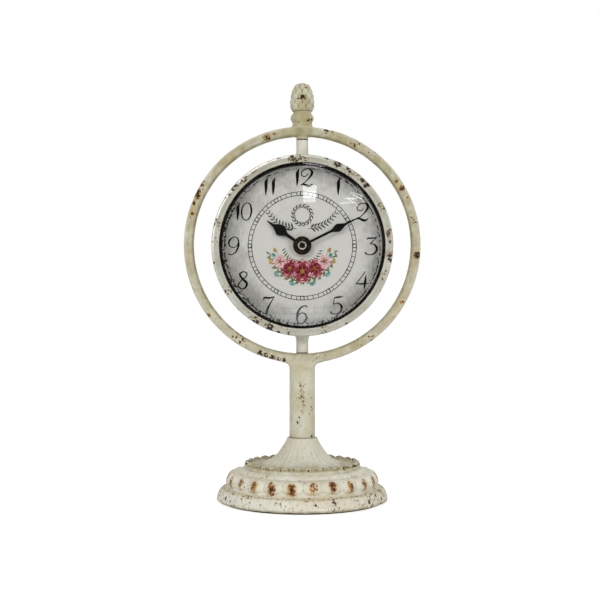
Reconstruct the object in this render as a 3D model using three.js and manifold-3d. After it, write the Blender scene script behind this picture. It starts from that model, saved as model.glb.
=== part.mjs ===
// Swing clock: a round table clock that turns on two upright pins inside a fixed cast ring.
// Millimetres, +Z up, the front of the clock faces -Y, origin under the middle of the base.
import * as THREE from 'three';
import { mergeVertices } from 'three/addons/utils/BufferGeometryUtils.js';
import Module from 'manifold-3d';

const wasm = await Module();
wasm.setup();

// Fits
const CLEARANCE = 0.3;
const END_PLAY = 0.2;
const OVERRUN = 1;
const WELD = 0.6;

// Facets of round pieces, by how large they are
const LARGE_FACETS = 48;
const MIDDLE_FACETS = 24;
const SMALL_FACETS = 16;
const FINE_FACETS = 8;
const HEX_FACETS = 6;
const CURVE_STEPS = 4;

// Base: felt pad, gadrooned foot and the fluted flare with its scalloped rim
const PAD = { inset: 3, thickness: 1.3 };
const FOOT = {
  radius: 61.2, tierSpread: 5.8, bandSpread: 5.7, ledgeSpread: 5.9,
  tierHeight: 10.4, bandHeight: 9.8, ledgeHeight: 2.1,
  gadroonBulge: 1.7, wall: 6, roof: 8.3,
};
const GADROONS = 24;
const FLARE = {
  setIn: 2.4, rimHeight: 3.4, neckLip: 1.45, height: 21.6, dishHeight: 2, rimInset: 1.6,
  lobeDepth: 1.3, fluteDepth: 0.45,
};
const RIM_LOBES = 28;
const STEPS_PER_LOBE = 3;

// Column and ring, one casting
const COLUMN = { radius: 9.25, length: 53 };
const RING = { gap: 13.8, width: 7.2, depth: 8, corner: 2 };
const JUNCTION = { height: 7.4, spread: 5, depthInRing: 4.1 };
const STUB_PROUD = 0.4;
const FINIAL_SEAT = { radius: 6.2, height: 0.3 };

// Tie rod with its nut and washer under the base, and the two pivots
const TIE_ROD = { radius: 3, tail: 1.2 };
const PIVOT_PIN = { radius: 2, depthInTube: 8.5 };
const BASE_NUT = { acrossCorners: 11.5, thickness: 5 };
const BASE_WASHER = { radius: 9, thickness: 1.6 };
const THRUST_WASHER = { inset: 0.1, thickness: 0.4 };

// Finial: bulging collar below a pine cone
const FINIAL = { radius: 8.6, collarHeight: 10.3, coneHeight: 20.8, scaleRelief: 0.5, scalesAround: 10 };

// Clock case
const CASE = {
  drop: 0.9, bandRadius: 63.4, bandWall: 1.6, bandDepth: 22.5,
  ribWidth: 4.3, ribThickness: 1.6, rebate: 0.8,
};
const TUBE = { radius: 4.3, footRadius: 6, footHeight: 2.2, boreDepth: 10 };
const BEZEL = {
  overhang: 0.8, wall: 3.7, lipCover: 1.4, beadWidth: 3.2, beadRise: 1.6, lipThickness: 1.2, lipWidth: 1.2,
};
const LENS = { edge: 2.2, rise: 7, glass: 1.8, rim: 1.8 };
const GASKET = { thickness: 0.7, width: 1.2 };
const SPACER = { width: 3.2, depth: 4.8 };
const DIAL = { rimGap: 0.6, thickness: 0.8, setback: 8 };
const BACK_COVER = { thickness: 1, windowGap: 0.6 };
const COVER_SCREW = {
  postWeld: 0.4, postRadius: 2.6, postLength: 10, radius: 1.1, headRadius: 2.4, headHeight: 1.2, bite: 6,
};

// Movement: housing with a train cavity and a battery bay
const MOVEMENT = {
  half: 28, wall: 1, frontWall: 0.8, depth: 16.2, bayHeight: 15.5, lid: 0.8,
  bushingRadius: 3.9, bushingLength: 4.2, plate: 0.8, plateRight: 17.8,
};
const RUBBER_WASHER = { radius: 9, thickness: 0.8 };
const DIAL_WASHER = { radius: 6, thickness: 0.5 };
const DIAL_NUT = { acrossCorners: 11.2, thickness: 1.7 };
const PILLAR_RADIUS = 1;
const PILLARS = { right: [15.5, -7.5], top: [0, 14], left: [-3.5, -9.1] };
const STUDS = { radius: 1, low: [-22, -5], high: [-17.1, 20.6] };

// Distance of each layer of the movement behind its front face
const LAYER = {
  hour: 1.2, minute: 2.5, midPlate: 3.9, centre: 5.2, third: 6.6,
  second: 7.9, stator: 8, fifth: 9.3, bridge: 10.9,
};
const WHEEL = { thickness: 0.7, pinionFace: 1.1, pinionLead: 0.2 };
const ARBOR = { radius: 0.5, holeRadius: 0.8 };
const SECOND_ARBOR_RADIUS = 0.45;

// Teeth and modules; the pitch distances follow from them
const TEETH = {
  hourWheel: 32, minutePinion: 8, minuteWheel: 30, cannonPinion: 10, setPinion: 10,
  centreWheel: 48, thirdPinion: 6, thirdWheel: 45, secondPinion: 6,
  secondWheel: 36, fifthPinion: 6, fifthWheel: 30, rotorPinion: 6,
};
const MODULE = { hands: 0.36, third: 0.36, second: 0.44, rotor: 0.36 };
const ADDENDUM_SHARE = 0.8;
const DEDENDUM_SHARE = 1.2;
const TOOTH_ROOT_SHARE = 0.27;
const TOOTH_TIP_SHARE = 0.1;
const DIRECTION_DEGREES = { minute: 130, third: 20, fifth: 180, rotor: 200 };

// Arbors through the dial, hands and their fixings
const HOUR_PIPE = { bore: 1.5, radius: 2.2, shoulderRadius: 1.9, shoulder: 0.7, proud: 0.4 };
const MINUTE_ARBOR = { radius: 1.2, threadRadius: 0.8, centreBore: 0.75, boreDepth: 1.5 };
const HAND = { thickness: 0.4, gap: 0.7 };
const HOUR_HAND = {
  length: 30.7, blade: 19.4, bladeHalf: 3.5, bladeLength: 8.5, stemHalf: 0.9, tipHalf: 0.3, hubRadius: 3.6,
};
const MINUTE_HAND = {
  length: 45.4, blade: 28.9, bladeHalf: 2.5, bladeLength: 8, stemHalf: 0.7, tipHalf: 0.25, hubRadius: 3.2,
};
const HAND_WASHER = { radius: 6.6, thickness: 0.4, stepRadius: 4.6, stepHeight: 0.5 };
const CAP_NUT = { radius: 3.3, skirt: 0.8, height: 2.4 };

const SET_KNOB = { shaftRadius: 1, radius: 5, thickness: 2.3, grips: 12, gripDepth: 0.5 };
const MAGNET = { radius: 2.4, length: 1, bore: 0.7 };
const STATOR = {
  thickness: 0.7, bore: 3.1, left: 25, right: 11.6, bottom: 7, top: 22, limbLeft: 18.4, limbRight: 15.4,
  yokeBottom: 1, yokeTop: 19.2, shoulder: 3,
};
const COIL = { radius: 3, across: 22.5, flangeRadius: 3.2, flange: 0.8, coreWidth: 2.4 };
const BOARD = { left: 18.5, thickness: 1, layer: 8, canRadius: 1, canLength: 6, chip: 5, chipHeight: 1 };
const BATTERY = { radius: 7.25, length: 50.5, nubRadius: 2.75, nubLength: 1.3 };
const CONTACT = { thickness: 0.4, height: 12, depth: 10, dimpleRadius: 2.4 };

// Time shown at rest, as shares of each hand's full turn
const SHOWN_TURN_SHARES = { hour: 0.848, minute: 0.1767 };

// Outlines as shares of the sizes that they follow
const FOOT_TIER_SHARES = [[0, 1], [0.14, 1], [0.43, 0.84], [0.71, 0.54], [0.86, 0.27], [1, 0.08]];
const FOOT_BAND_SHARES = [[0.14, 0.98], [0.36, 0.9], [0.6, 0.75], [0.8, 0.5], [1, 0]];
const FLARE_CONE_SHARES = [
  [0, 0.84], [0.1, 0.54], [0.28, 0.33], [0.5, 0.18], [0.77, 0.07], [0.91, 0.03], [1, 0],
];
const JUNCTION_SHARES = [[0, 0, 0], [0.43, 0.04, 0.25], [0.7, 0.23, 0.56], [0.87, 0.6, 0.84], [1, 1, 1]];
const RING_CORNER_SHARES = [0, 0.5, 1];
const PLUG_DEPTH_SHARE = 0.8;
const COLLAR_SHARES = [
  [0, 0.88], [0.17, 0.84], [0.3, 0.88], [0.45, 0.97], [0.58, 0.97], [0.72, 0.88], [0.86, 0.84], [1, 0.8],
];
const CONE_SHARES = [
  [0, 0.8], [0.07, 0.92], [0.16, 1], [0.28, 1], [0.42, 1],
  [0.54, 0.95], [0.66, 0.89], [0.78, 0.79], [0.88, 0.63], [0.96, 0.4],
];
const BEAD_SHARES = [[0, 0], [0.22, 0.72], [0.5, 1], [0.78, 0.72], [1, 0]];
const DOME_STEPS = 4;
const CAP_SHARES = [[1, 0], [0.94, 0.35], [0.7, 0.72], [0.38, 0.94], [0, 1]];

// Radii of the base, each inside the one before
const waistRadius = FOOT.radius - FOOT.tierSpread;
const shoulderRadius = waistRadius - FOOT.bandSpread;
const ledgeRadius = shoulderRadius - FOOT.ledgeSpread;
const rimRadius = ledgeRadius - FLARE.setIn;
const neckRadius = COLUMN.radius + FLARE.neckLip;

// Radii of the case and of the ring round it
const bandInner = CASE.bandRadius - CASE.bandWall;
const ribInner = bandInner - CASE.ribWidth;
const dialRadius = bandInner - DIAL.rimGap;
const bezelRadius = CASE.bandRadius + BEZEL.overhang;
const lensRadius = bezelRadius - BEZEL.wall - CLEARANCE;
const openingRadius = lensRadius - BEZEL.lipCover;
const screwCircle = bandInner - COVER_SCREW.postRadius + COVER_SCREW.postWeld;
const ringInner = bezelRadius + RING.gap;
const ringOuter = ringInner + RING.width;
const tubeReach = ringInner - CASE.drop - STUB_PROUD - THRUST_WASHER.thickness;

// Levels up the stand
const footBottom = PAD.thickness;
const bandBottom = footBottom + FOOT.tierHeight;
const ledgeBottom = bandBottom + FOOT.bandHeight;
const footTop = ledgeBottom + FOOT.ledgeHeight;
const flareTop = footTop + FLARE.height;
const ringBottom = flareTop + COLUMN.length;
const ringCentre = ringBottom + ringOuter;
const seatTop = ringCentre + ringOuter + FINIAL_SEAT.height;
const rodShoulder = ringBottom + RING.width / 2;
const roofBottom = footTop - FOOT.roof;
const caseCentre = ringCentre - CASE.drop;
const lowerStubTop = caseCentre - tubeReach - THRUST_WASHER.thickness;
const upperWasherBottom = caseCentre + tubeReach + END_PLAY;
const upperStubBottom = upperWasherBottom + THRUST_WASHER.thickness;

// Depths in the case, -Y towards the front
const dialFront = -DIAL.setback;
const dialBack = dialFront + DIAL.thickness;
const spacerFront = dialFront - SPACER.depth;
const lensEdgeFront = spacerFront - LENS.edge;
const gasketFront = lensEdgeFront - GASKET.thickness;
const lipFront = gasketFront - BEZEL.lipThickness;
const bandFront = spacerFront + CASE.rebate;
const bandBack = bandFront + CASE.bandDepth;
const movementFront = dialBack + RUBBER_WASHER.thickness;
const movementBack = movementFront + MOVEMENT.depth;
const bushingFront = movementFront - MOVEMENT.bushingLength;
const nutFront = dialFront - DIAL_WASHER.thickness - DIAL_NUT.thickness;
const hourHandBack = bushingFront - HOUR_PIPE.proud;
const hourPipeFront = hourHandBack - HOUR_PIPE.shoulder;
const minuteHandBack = hourPipeFront - HAND.gap;
const minuteHandFront = minuteHandBack - HAND.thickness;
const stepFront = minuteHandFront - HAND_WASHER.thickness - HAND_WASHER.stepHeight;
const cavityBottom = MOVEMENT.bayHeight + MOVEMENT.wall * 2 - MOVEMENT.half;

// Colours, roughness and metalness
function material(color, roughness, metalness) {
  return new THREE.MeshStandardMaterial({ color, roughness, metalness });
}

const paintedIron = () => material(0xcfc9b1, 0.75, 0.1);
const bareSteel = () => material(0xa9a9a6, 0.4, 0.9);
const brass = () => material(0xb08d4a, 0.35, 0.9);
const blackPlastic = () => material(0x1c1b19, 0.6, 0);
const whitePlastic = () => material(0xe8e6de, 0.5, 0);

// Merges shared corners and drops the flat triangles that a pole leaves behind.
function closed(geometry) {
  const bare = new THREE.BufferGeometry();
  bare.setAttribute('position', geometry.getAttribute('position'));
  bare.setIndex(geometry.getIndex());
  const merged = mergeVertices(bare);
  const corners = merged.getIndex().array;
  const kept = [];
  for (let i = 0; i < corners.length; i += 3) {
    const [a, b, c] = corners.slice(i, i + 3);
    if (a !== b && b !== c && c !== a) kept.push(a, b, c);
  }
  merged.setIndex(kept);
  return merged;
}

function toSolid(geometry) {
  const mesh = closed(geometry);
  return new wasm.Manifold(new wasm.Mesh({
    numProp: 3,
    vertProperties: new Float32Array(mesh.getAttribute('position').array),
    triVerts: new Uint32Array(mesh.getIndex().array),
  }));
}

function toGeometry(solid) {
  const mesh = solid.getMesh();
  const geometry = new THREE.BufferGeometry();
  geometry.setAttribute('position', new THREE.BufferAttribute(mesh.vertProperties, 3));
  geometry.setIndex(new THREE.BufferAttribute(mesh.triVerts, 1));
  return geometry;
}

// Joins the first list of geometries into one body and cuts the second list out of it.
function built(joined, cuts = []) {
  let solid = toSolid(joined[0]);
  for (const more of joined.slice(1)) solid = solid.add(toSolid(more));
  for (const tool of cuts) solid = solid.subtract(toSolid(tool));
  return toGeometry(solid);
}

// Profile of [radius, level] points turned about the upright axis.
function turnedUpright(profile, facets) {
  const points = profile.map(([radius, level]) => new THREE.Vector2(radius, level));
  return closed(new THREE.LatheGeometry(points, facets).rotateX(Math.PI / 2));
}

// Profile of [radius, depth] points turned about the axis that runs from front to back.
function turnedOnDepth(profile, facets) {
  const points = profile.map(([radius, depth]) => new THREE.Vector2(radius, depth));
  return closed(new THREE.LatheGeometry(points, facets));
}

function uprightRod(radius, bottom, top, facets) {
  return new THREE.CylinderGeometry(radius, radius, top - bottom, facets)
    .rotateX(Math.PI / 2)
    .translate(0, 0, (bottom + top) / 2);
}

function depthRod(radius, front, back, facets, [x, z] = [0, 0]) {
  return new THREE.CylinderGeometry(radius, radius, back - front, facets).translate(x, (front + back) / 2, z);
}

// Bores that pass through a wall with clearance round what they hold.
function uprightBore(radius, bottom, top) {
  return uprightRod(radius + CLEARANCE, bottom - OVERRUN, top + OVERRUN, SMALL_FACETS);
}

function depthBore(radius, front, back, facets, place) {
  return depthRod(radius + CLEARANCE, front - OVERRUN, back + OVERRUN, facets, place);
}

function block([left, right], [front, back], [bottom, top]) {
  return new THREE.BoxGeometry(right - left, back - front, top - bottom)
    .translate((left + right) / 2, (front + back) / 2, (bottom + top) / 2);
}

// A flat piece drawn as seen from the front and given its thickness in depth.
function facePlate(shape, front, back) {
  const settings = { depth: back - front, bevelEnabled: false, curveSegments: CURVE_STEPS };
  return new THREE.ExtrudeGeometry(shape, settings)
    .rotateX(Math.PI / 2)
    .translate(0, back, 0);
}

// Pushes a turned piece out between the valleys of its lobes; swell gives [outward, upward] for a point.
function lobed(geometry, lobes, swell) {
  const place = geometry.getAttribute('position');
  for (let i = 0; i < place.count; i += 1) {
    const radius = Math.hypot(place.getX(i), place.getY(i));
    const turn = Math.atan2(place.getX(i), -place.getY(i)) / (2 * Math.PI);
    const along = 2 * (turn * lobes - Math.floor(turn * lobes + 1e-6)) - 1;
    const crest = 1 - along * along;
    const [outward, upward] = swell(radius, place.getZ(i));
    const scale = radius > 0 ? 1 + (outward * crest) / radius : 1;
    place.setXYZ(i, place.getX(i) * scale, place.getY(i) * scale, place.getZ(i) + upward * crest);
  }
  return geometry;
}

function addPart(group, name, geometry, finish) {
  const mesh = new THREE.Mesh(geometry, finish);
  mesh.name = name;
  group.add(mesh);
}

// Base

function basePad() {
  return uprightRod(FOOT.radius - PAD.inset, 0, PAD.thickness, LARGE_FACETS);
}

function baseFoot() {
  const tier = FOOT_TIER_SHARES.map(([rise, spread]) => [
    waistRadius + FOOT.tierSpread * spread, footBottom + FOOT.tierHeight * rise,
  ]);
  const bulge = (rise) => FOOT.gadroonBulge * 4 * rise * (1 - rise);
  const band = FOOT_BAND_SHARES.map(([rise, spread]) => [
    shoulderRadius + FOOT.bandSpread * spread - bulge(rise),
    bandBottom + FOOT.bandHeight * rise,
  ]);
  const profile = [[0, footBottom], ...tier, ...band, [ledgeRadius, footTop], [0, footTop]];
  const swell = (radius, level) => {
    const rise = (level - bandBottom) / FOOT.bandHeight;
    return [rise > 0 && rise < 1 ? bulge(rise) : 0, 0];
  };
  const body = lobed(turnedUpright(profile, GADROONS * STEPS_PER_LOBE), GADROONS, swell);
  const mouth = FOOT.radius - FOOT.wall;
  const hollow = turnedUpright([
    [0, footBottom - OVERRUN], [mouth, footBottom - OVERRUN], [mouth, footBottom],
    [shoulderRadius - FOOT.wall, roofBottom], [0, roofBottom],
  ], MIDDLE_FACETS);
  return built([body], [hollow, uprightBore(TIE_ROD.radius, roofBottom, footTop)]);
}

function baseFlare() {
  const rimTop = footTop + FLARE.rimHeight;
  const dishFloor = footTop + FLARE.dishHeight;
  const cone = FLARE_CONE_SHARES.map(([rise, spread]) => [
    neckRadius + (rimRadius - FLARE.rimInset * 2 - neckRadius) * spread,
    dishFloor + (flareTop - dishFloor) * rise,
  ]);
  const profile = [
    [0, footTop], [rimRadius - FLARE.rimInset, footTop], [rimRadius, footTop + FLARE.rimHeight / 3],
    [rimRadius - FLARE.rimInset / 2, rimTop - FLARE.rimInset / 4], [rimRadius - FLARE.rimInset * 1.5, rimTop],
    [rimRadius - FLARE.rimInset * 3, dishFloor + FLARE.rimInset / 4], ...cone, [0, flareTop],
  ];
  const swell = (radius, level) => {
    const onRim = radius > rimRadius - FLARE.rimInset * 2 && level > footTop;
    const onCone = !onRim && level > dishFloor && level < flareTop;
    if (onRim) return [FLARE.lobeDepth / 2, FLARE.lobeDepth / 2];
    return [onCone ? FLARE.fluteDepth : 0, 0];
  };
  const body = lobed(turnedUpright(profile, RIM_LOBES * STEPS_PER_LOBE), RIM_LOBES, swell);
  return built([body], [uprightBore(TIE_ROD.radius, footTop, flareTop)]);
}

function baseWasher() {
  const bottom = roofBottom - BASE_WASHER.thickness;
  const disc = uprightRod(BASE_WASHER.radius, bottom, roofBottom, SMALL_FACETS);
  return built([disc], [uprightBore(TIE_ROD.radius, bottom, roofBottom)]);
}

function baseNut() {
  const top = roofBottom - BASE_WASHER.thickness;
  const bottom = top - BASE_NUT.thickness;
  const prism = uprightRod(BASE_NUT.acrossCorners / 2, bottom, top, HEX_FACETS);
  return built([prism], [uprightBore(TIE_ROD.radius, bottom, top)]);
}

function tieRod() {
  const bottom = roofBottom - BASE_WASHER.thickness - BASE_NUT.thickness - TIE_ROD.tail;
  const pinTop = caseCentre - tubeReach + PIVOT_PIN.depthInTube;
  return turnedUpright([
    [0, bottom], [TIE_ROD.radius, bottom], [TIE_ROD.radius, rodShoulder], [PIVOT_PIN.radius, rodShoulder],
    [PIVOT_PIN.radius, pinTop], [0, pinTop],
  ], SMALL_FACETS);
}

// Column and ring

function ringBar() {
  const halfDepth = RING.depth / 2;
  const corners = [
    [ringOuter, halfDepth, 0], [ringInner, halfDepth, 1],
    [ringInner, -halfDepth, 2], [ringOuter, -halfDepth, 3],
  ];
  const section = [];
  for (const [radius, depth, quarter] of corners) {
    const centreRadius = radius - Math.sign(radius - (ringOuter + ringInner) / 2) * RING.corner;
    const centreDepth = depth - Math.sign(depth) * RING.corner;
    for (const share of RING_CORNER_SHARES) {
      const turn = (quarter + share) * Math.PI / 2;
      section.push([centreRadius + RING.corner * Math.cos(turn), centreDepth + RING.corner * Math.sin(turn)]);
    }
  }
  section.push(section[0]);
  return turnedOnDepth(section, LARGE_FACETS).translate(0, 0, ringCentre);
}

// The round column, spreading across and thinning in depth where it runs into the ring.
function columnBody() {
  const junctionBottom = ringBottom + RING.corner / 2 - JUNCTION.height;
  const widths = JUNCTION_SHARES.map(([rise, spread, thinning]) => ({
    level: junctionBottom + JUNCTION.height * rise,
    across: COLUMN.radius + JUNCTION.spread * spread,
    deep: COLUMN.radius + (JUNCTION.depthInRing - COLUMN.radius) * thinning,
  }));
  widths.push({
    level: rodShoulder,
    across: COLUMN.radius + JUNCTION.spread,
    deep: JUNCTION.depthInRing * PLUG_DEPTH_SHARE,
  });
  const outline = widths.map((row) => [row.across, row.level]);
  const body = turnedUpright([
    [0, flareTop], [COLUMN.radius, flareTop], ...outline, [0, rodShoulder],
  ], MIDDLE_FACETS);
  const place = body.getAttribute('position');
  for (let i = 0; i < place.count; i += 1) {
    const row = widths.find((width) => Math.abs(width.level - place.getZ(i)) < CLEARANCE / 10);
    if (row) place.setY(i, place.getY(i) * row.deep / row.across);
  }
  return body;
}

function ringFrame() {
  const lowerStub = uprightRod(TUBE.radius, ringCentre - ringInner - WELD * 2, lowerStubTop, SMALL_FACETS);
  const upperStub = uprightRod(TUBE.radius, upperStubBottom, ringCentre + ringInner + WELD * 2, SMALL_FACETS);
  const seatBottom = ringCentre + ringOuter - RING.corner - WELD;
  const seat = uprightRod(FINIAL_SEAT.radius, seatBottom, seatTop, MIDDLE_FACETS);
  const shoulder = rodShoulder + CLEARANCE;
  const rodBore = uprightRod(TIE_ROD.radius + CLEARANCE, flareTop - OVERRUN, shoulder, SMALL_FACETS);
  const pinBore = uprightBore(PIVOT_PIN.radius, shoulder, lowerStubTop);
  const topBore = uprightBore(PIVOT_PIN.radius, upperStubBottom, seatTop);
  return built([ringBar(), columnBody(), lowerStub, upperStub, seat], [rodBore, pinBore, topBore]);
}

function thrustWasher(bottom) {
  const top = bottom + THRUST_WASHER.thickness;
  const disc = uprightRod(TUBE.radius - THRUST_WASHER.inset, bottom, top, SMALL_FACETS);
  return built([disc], [uprightBore(PIVOT_PIN.radius, bottom, top)]);
}

function upperPivotRod() {
  const bottom = caseCentre + tubeReach - PIVOT_PIN.depthInTube;
  const top = seatTop + FINIAL.collarHeight + FINIAL.coneHeight / 2;
  return uprightRod(PIVOT_PIN.radius, bottom, top, SMALL_FACETS);
}

// Finial

function finialCollar() {
  const top = seatTop + FINIAL.collarHeight;
  const outline = COLLAR_SHARES.map(([rise, spread]) => (
    [FINIAL.radius * spread, seatTop + FINIAL.collarHeight * rise]));
  const body = turnedUpright([[0, seatTop], ...outline, [0, top]], MIDDLE_FACETS);
  return built([body], [uprightBore(PIVOT_PIN.radius, seatTop, top)]);
}

function finialCone() {
  const bottom = seatTop + FINIAL.collarHeight;
  const outline = CONE_SHARES.map(([rise, spread]) => (
    [FINIAL.radius * spread, bottom + FINIAL.coneHeight * rise]));
  const steps = FINIAL.scalesAround * 4;
  const body = turnedUpright([[0, bottom], ...outline, [0, bottom + FINIAL.coneHeight]], steps);
  const place = body.getAttribute('position');
  for (let i = 0; i < place.count; i += 1) {
    const radius = Math.hypot(place.getX(i), place.getY(i));
    const row = outline.findIndex(([, level]) => Math.abs(level - place.getZ(i)) < CLEARANCE / 10);
    if (row < 1 || radius === 0) continue;
    const turn = Math.atan2(place.getX(i), -place.getY(i)) / (2 * Math.PI);
    const step = Math.round(turn * steps) + 2 * row;
    const relief = FINIAL.scaleRelief * (Math.cos(step * Math.PI / 2) - 1) / 2;
    place.setX(i, place.getX(i) * (1 + relief / radius));
    place.setY(i, place.getY(i) * (1 + relief / radius));
  }
  const boreTop = bottom + FINIAL.coneHeight / 2 + CLEARANCE;
  const bore = uprightRod(PIVOT_PIN.radius + CLEARANCE, bottom - OVERRUN, boreTop, SMALL_FACETS);
  return built([body], [bore]);
}

// Clock case

const coverScrewPlaces = [45, 135, 225, 315].map((degrees) => {
  const turn = THREE.MathUtils.degToRad(degrees);
  return [screwCircle * Math.cos(turn), screwCircle * Math.sin(turn)];
});

function caseBand() {
  const ribBack = dialBack + CASE.ribThickness;
  const profile = [
    [CASE.bandRadius, bandFront], [CASE.bandRadius, bandBack], [bandInner, bandBack], [bandInner, ribBack],
    [ribInner, ribBack], [ribInner, dialBack], [bandInner, dialBack], [bandInner, bandFront],
    [CASE.bandRadius, bandFront],
  ];
  const posts = coverScrewPlaces.map((place) => (
    depthRod(COVER_SCREW.postRadius, bandBack - COVER_SCREW.postLength, bandBack, FINE_FACETS, place)));
  const bores = coverScrewPlaces.map((place) => (
    depthBore(COVER_SCREW.radius, bandBack - COVER_SCREW.bite, bandBack, FINE_FACETS, place)));
  return built([turnedOnDepth(profile, LARGE_FACETS), ...posts], bores);
}

// Pivot tube standing on the band; the lower one is the same piece turned over.
function pivotTube() {
  const footTopLevel = CASE.bandRadius + TUBE.footHeight;
  const boreBottom = tubeReach - TUBE.boreDepth;
  const bore = PIVOT_PIN.radius + CLEARANCE;
  const profile = [
    [0, bandInner], [TUBE.footRadius, bandInner], [TUBE.footRadius, CASE.bandRadius],
    [TUBE.radius, footTopLevel], [TUBE.radius, tubeReach],
    [bore, tubeReach], [bore, boreBottom], [0, boreBottom],
  ];
  const saddle = depthRod(CASE.bandRadius + CLEARANCE, bandFront, bandBack, LARGE_FACETS);
  return built([turnedUpright(profile, MIDDLE_FACETS)], [saddle]);
}

function bezel() {
  const seat = lensRadius + CLEARANCE;
  const beadInner = bezelRadius - BEZEL.beadWidth;
  const beadBase = lipFront + BEZEL.beadRise / 3;
  const bead = BEAD_SHARES.map(([across, rise]) => [
    beadInner + BEZEL.beadWidth * across, beadBase - BEZEL.beadRise * rise,
  ]);
  return turnedOnDepth([
    [bezelRadius, bandFront], [seat, bandFront], [seat, gasketFront], [openingRadius, gasketFront],
    [openingRadius, lipFront + BEZEL.lipThickness / 3], [openingRadius + BEZEL.lipWidth, lipFront],
    ...bead, [bezelRadius, bandFront],
  ], LARGE_FACETS);
}

function domeArc(radius, front, rise) {
  const arc = [];
  for (let step = 0; step <= DOME_STEPS; step += 1) {
    const across = step / DOME_STEPS;
    arc.push([radius * across, front - rise * (1 - across * across)]);
  }
  return arc;
}

function lens() {
  const domeRadius = lensRadius - LENS.rim;
  const outside = domeArc(domeRadius, lensEdgeFront, LENS.rise);
  const inside = domeArc(domeRadius - LENS.rim, spacerFront, LENS.rise + LENS.edge - LENS.glass).reverse();
  const edge = [[lensRadius, lensEdgeFront], [lensRadius, spacerFront]];
  return turnedOnDepth([...outside, ...edge, ...inside], LARGE_FACETS);
}

// Flat ring with the glass's outer radius and a width of its own.
function rimRing(width, front, back) {
  const inner = lensRadius - width;
  return turnedOnDepth([
    [lensRadius, front], [lensRadius, back], [inner, back], [inner, front], [lensRadius, front],
  ], LARGE_FACETS);
}

function backCover() {
  const back = bandBack + BACK_COVER.thickness;
  const half = MOVEMENT.half + BACK_COVER.windowGap;
  const window = block([-half, half], [bandBack - OVERRUN, back + OVERRUN], [-half, half]);
  const holes = coverScrewPlaces.map((place) => (
    depthBore(COVER_SCREW.radius, bandBack, back, FINE_FACETS, place)));
  return built([depthRod(CASE.bandRadius, bandBack, back, LARGE_FACETS)], [window, ...holes]);
}

function coverScrew(place) {
  const seat = bandBack + BACK_COVER.thickness;
  return built([
    depthRod(COVER_SCREW.radius, bandBack - COVER_SCREW.bite, seat + WELD, FINE_FACETS, place),
    depthRod(COVER_SCREW.headRadius, seat, seat + COVER_SCREW.headHeight, FINE_FACETS, place),
  ]);
}

function dial() {
  return built(
    [depthRod(dialRadius, dialFront, dialBack, LARGE_FACETS)],
    [depthBore(MOVEMENT.bushingRadius, dialFront, dialBack, SMALL_FACETS)],
  );
}

// Movement

// Where a driven arbor stands: a pitch distance away from its driver, in a direction seen from the front.
function placed([x, z], distance, degrees) {
  const turn = THREE.MathUtils.degToRad(degrees);
  return [x + distance * Math.cos(turn), z + distance * Math.sin(turn)];
}

const pitchDistance = (teethA, teethB, gearModule) => (teethA + teethB) * gearModule / 2;
const centrePlace = [0, 0];
const handsDistance = pitchDistance(TEETH.minuteWheel, TEETH.cannonPinion, MODULE.hands);
const hourModule = 2 * handsDistance / (TEETH.hourWheel + TEETH.minutePinion);
const minutePlace = placed(centrePlace, handsDistance, DIRECTION_DEGREES.minute);
const setDistance = pitchDistance(TEETH.minuteWheel, TEETH.setPinion, MODULE.hands);
const setPlace = placed(minutePlace, setDistance, DIRECTION_DEGREES.minute);
const thirdDistance = pitchDistance(TEETH.thirdWheel, TEETH.secondPinion, MODULE.third);
const centreModule = 2 * thirdDistance / (TEETH.centreWheel + TEETH.thirdPinion);
const thirdPlace = placed(centrePlace, thirdDistance, DIRECTION_DEGREES.third);
const fifthDistance = pitchDistance(TEETH.secondWheel, TEETH.fifthPinion, MODULE.second);
const fifthPlace = placed(centrePlace, fifthDistance, DIRECTION_DEGREES.fifth);
const rotorDistance = pitchDistance(TEETH.fifthWheel, TEETH.rotorPinion, MODULE.rotor);
const rotorPlace = placed(fifthPlace, rotorDistance, DIRECTION_DEGREES.rotor);

// Angle of the first tooth of a driven gear, so that a gap of it meets the driver's tooth.
function meshedAngle(driverTeeth, driverAngle, drivenTeeth, degrees) {
  const towards = THREE.MathUtils.degToRad(degrees);
  const driverPhase = (towards - driverAngle) * driverTeeth / (2 * Math.PI);
  return towards + Math.PI - 2 * Math.PI * (0.5 - driverPhase) / drivenTeeth;
}

const minuteWheelAngle = meshedAngle(TEETH.cannonPinion, 0, TEETH.minuteWheel, DIRECTION_DEGREES.minute);
const setPinionAngle = meshedAngle(
  TEETH.minuteWheel, minuteWheelAngle, TEETH.setPinion, DIRECTION_DEGREES.minute);
const hourWheelAngle = meshedAngle(TEETH.minutePinion, 0, TEETH.hourWheel, DIRECTION_DEGREES.minute + 180);
const thirdWheelAngle = meshedAngle(TEETH.secondPinion, 0, TEETH.thirdWheel, DIRECTION_DEGREES.third);
const centreWheelAngle = meshedAngle(TEETH.thirdPinion, 0, TEETH.centreWheel, DIRECTION_DEGREES.third + 180);
const fifthPinionAngle = meshedAngle(TEETH.secondWheel, 0, TEETH.fifthPinion, DIRECTION_DEGREES.fifth);
const rotorPinionAngle = meshedAngle(TEETH.fifthWheel, 0, TEETH.rotorPinion, DIRECTION_DEGREES.rotor);

function gearShape(teeth, gearModule, angle) {
  const pitchRadius = teeth * gearModule / 2;
  const tip = pitchRadius + gearModule * ADDENDUM_SHARE;
  const root = pitchRadius - gearModule * DEDENDUM_SHARE;
  const step = 2 * Math.PI / teeth;
  const flank = [
    [root, -TOOTH_ROOT_SHARE], [tip, -TOOTH_TIP_SHARE], [tip, TOOTH_TIP_SHARE], [root, TOOTH_ROOT_SHARE],
  ];
  const outline = [];
  for (let tooth = 0; tooth < teeth; tooth += 1) {
    for (const [radius, share] of flank) {
      const turn = angle + (tooth + share) * step;
      outline.push(new THREE.Vector2(radius * Math.cos(turn), radius * Math.sin(turn)));
    }
  }
  return new THREE.Shape(outline);
}

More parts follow.
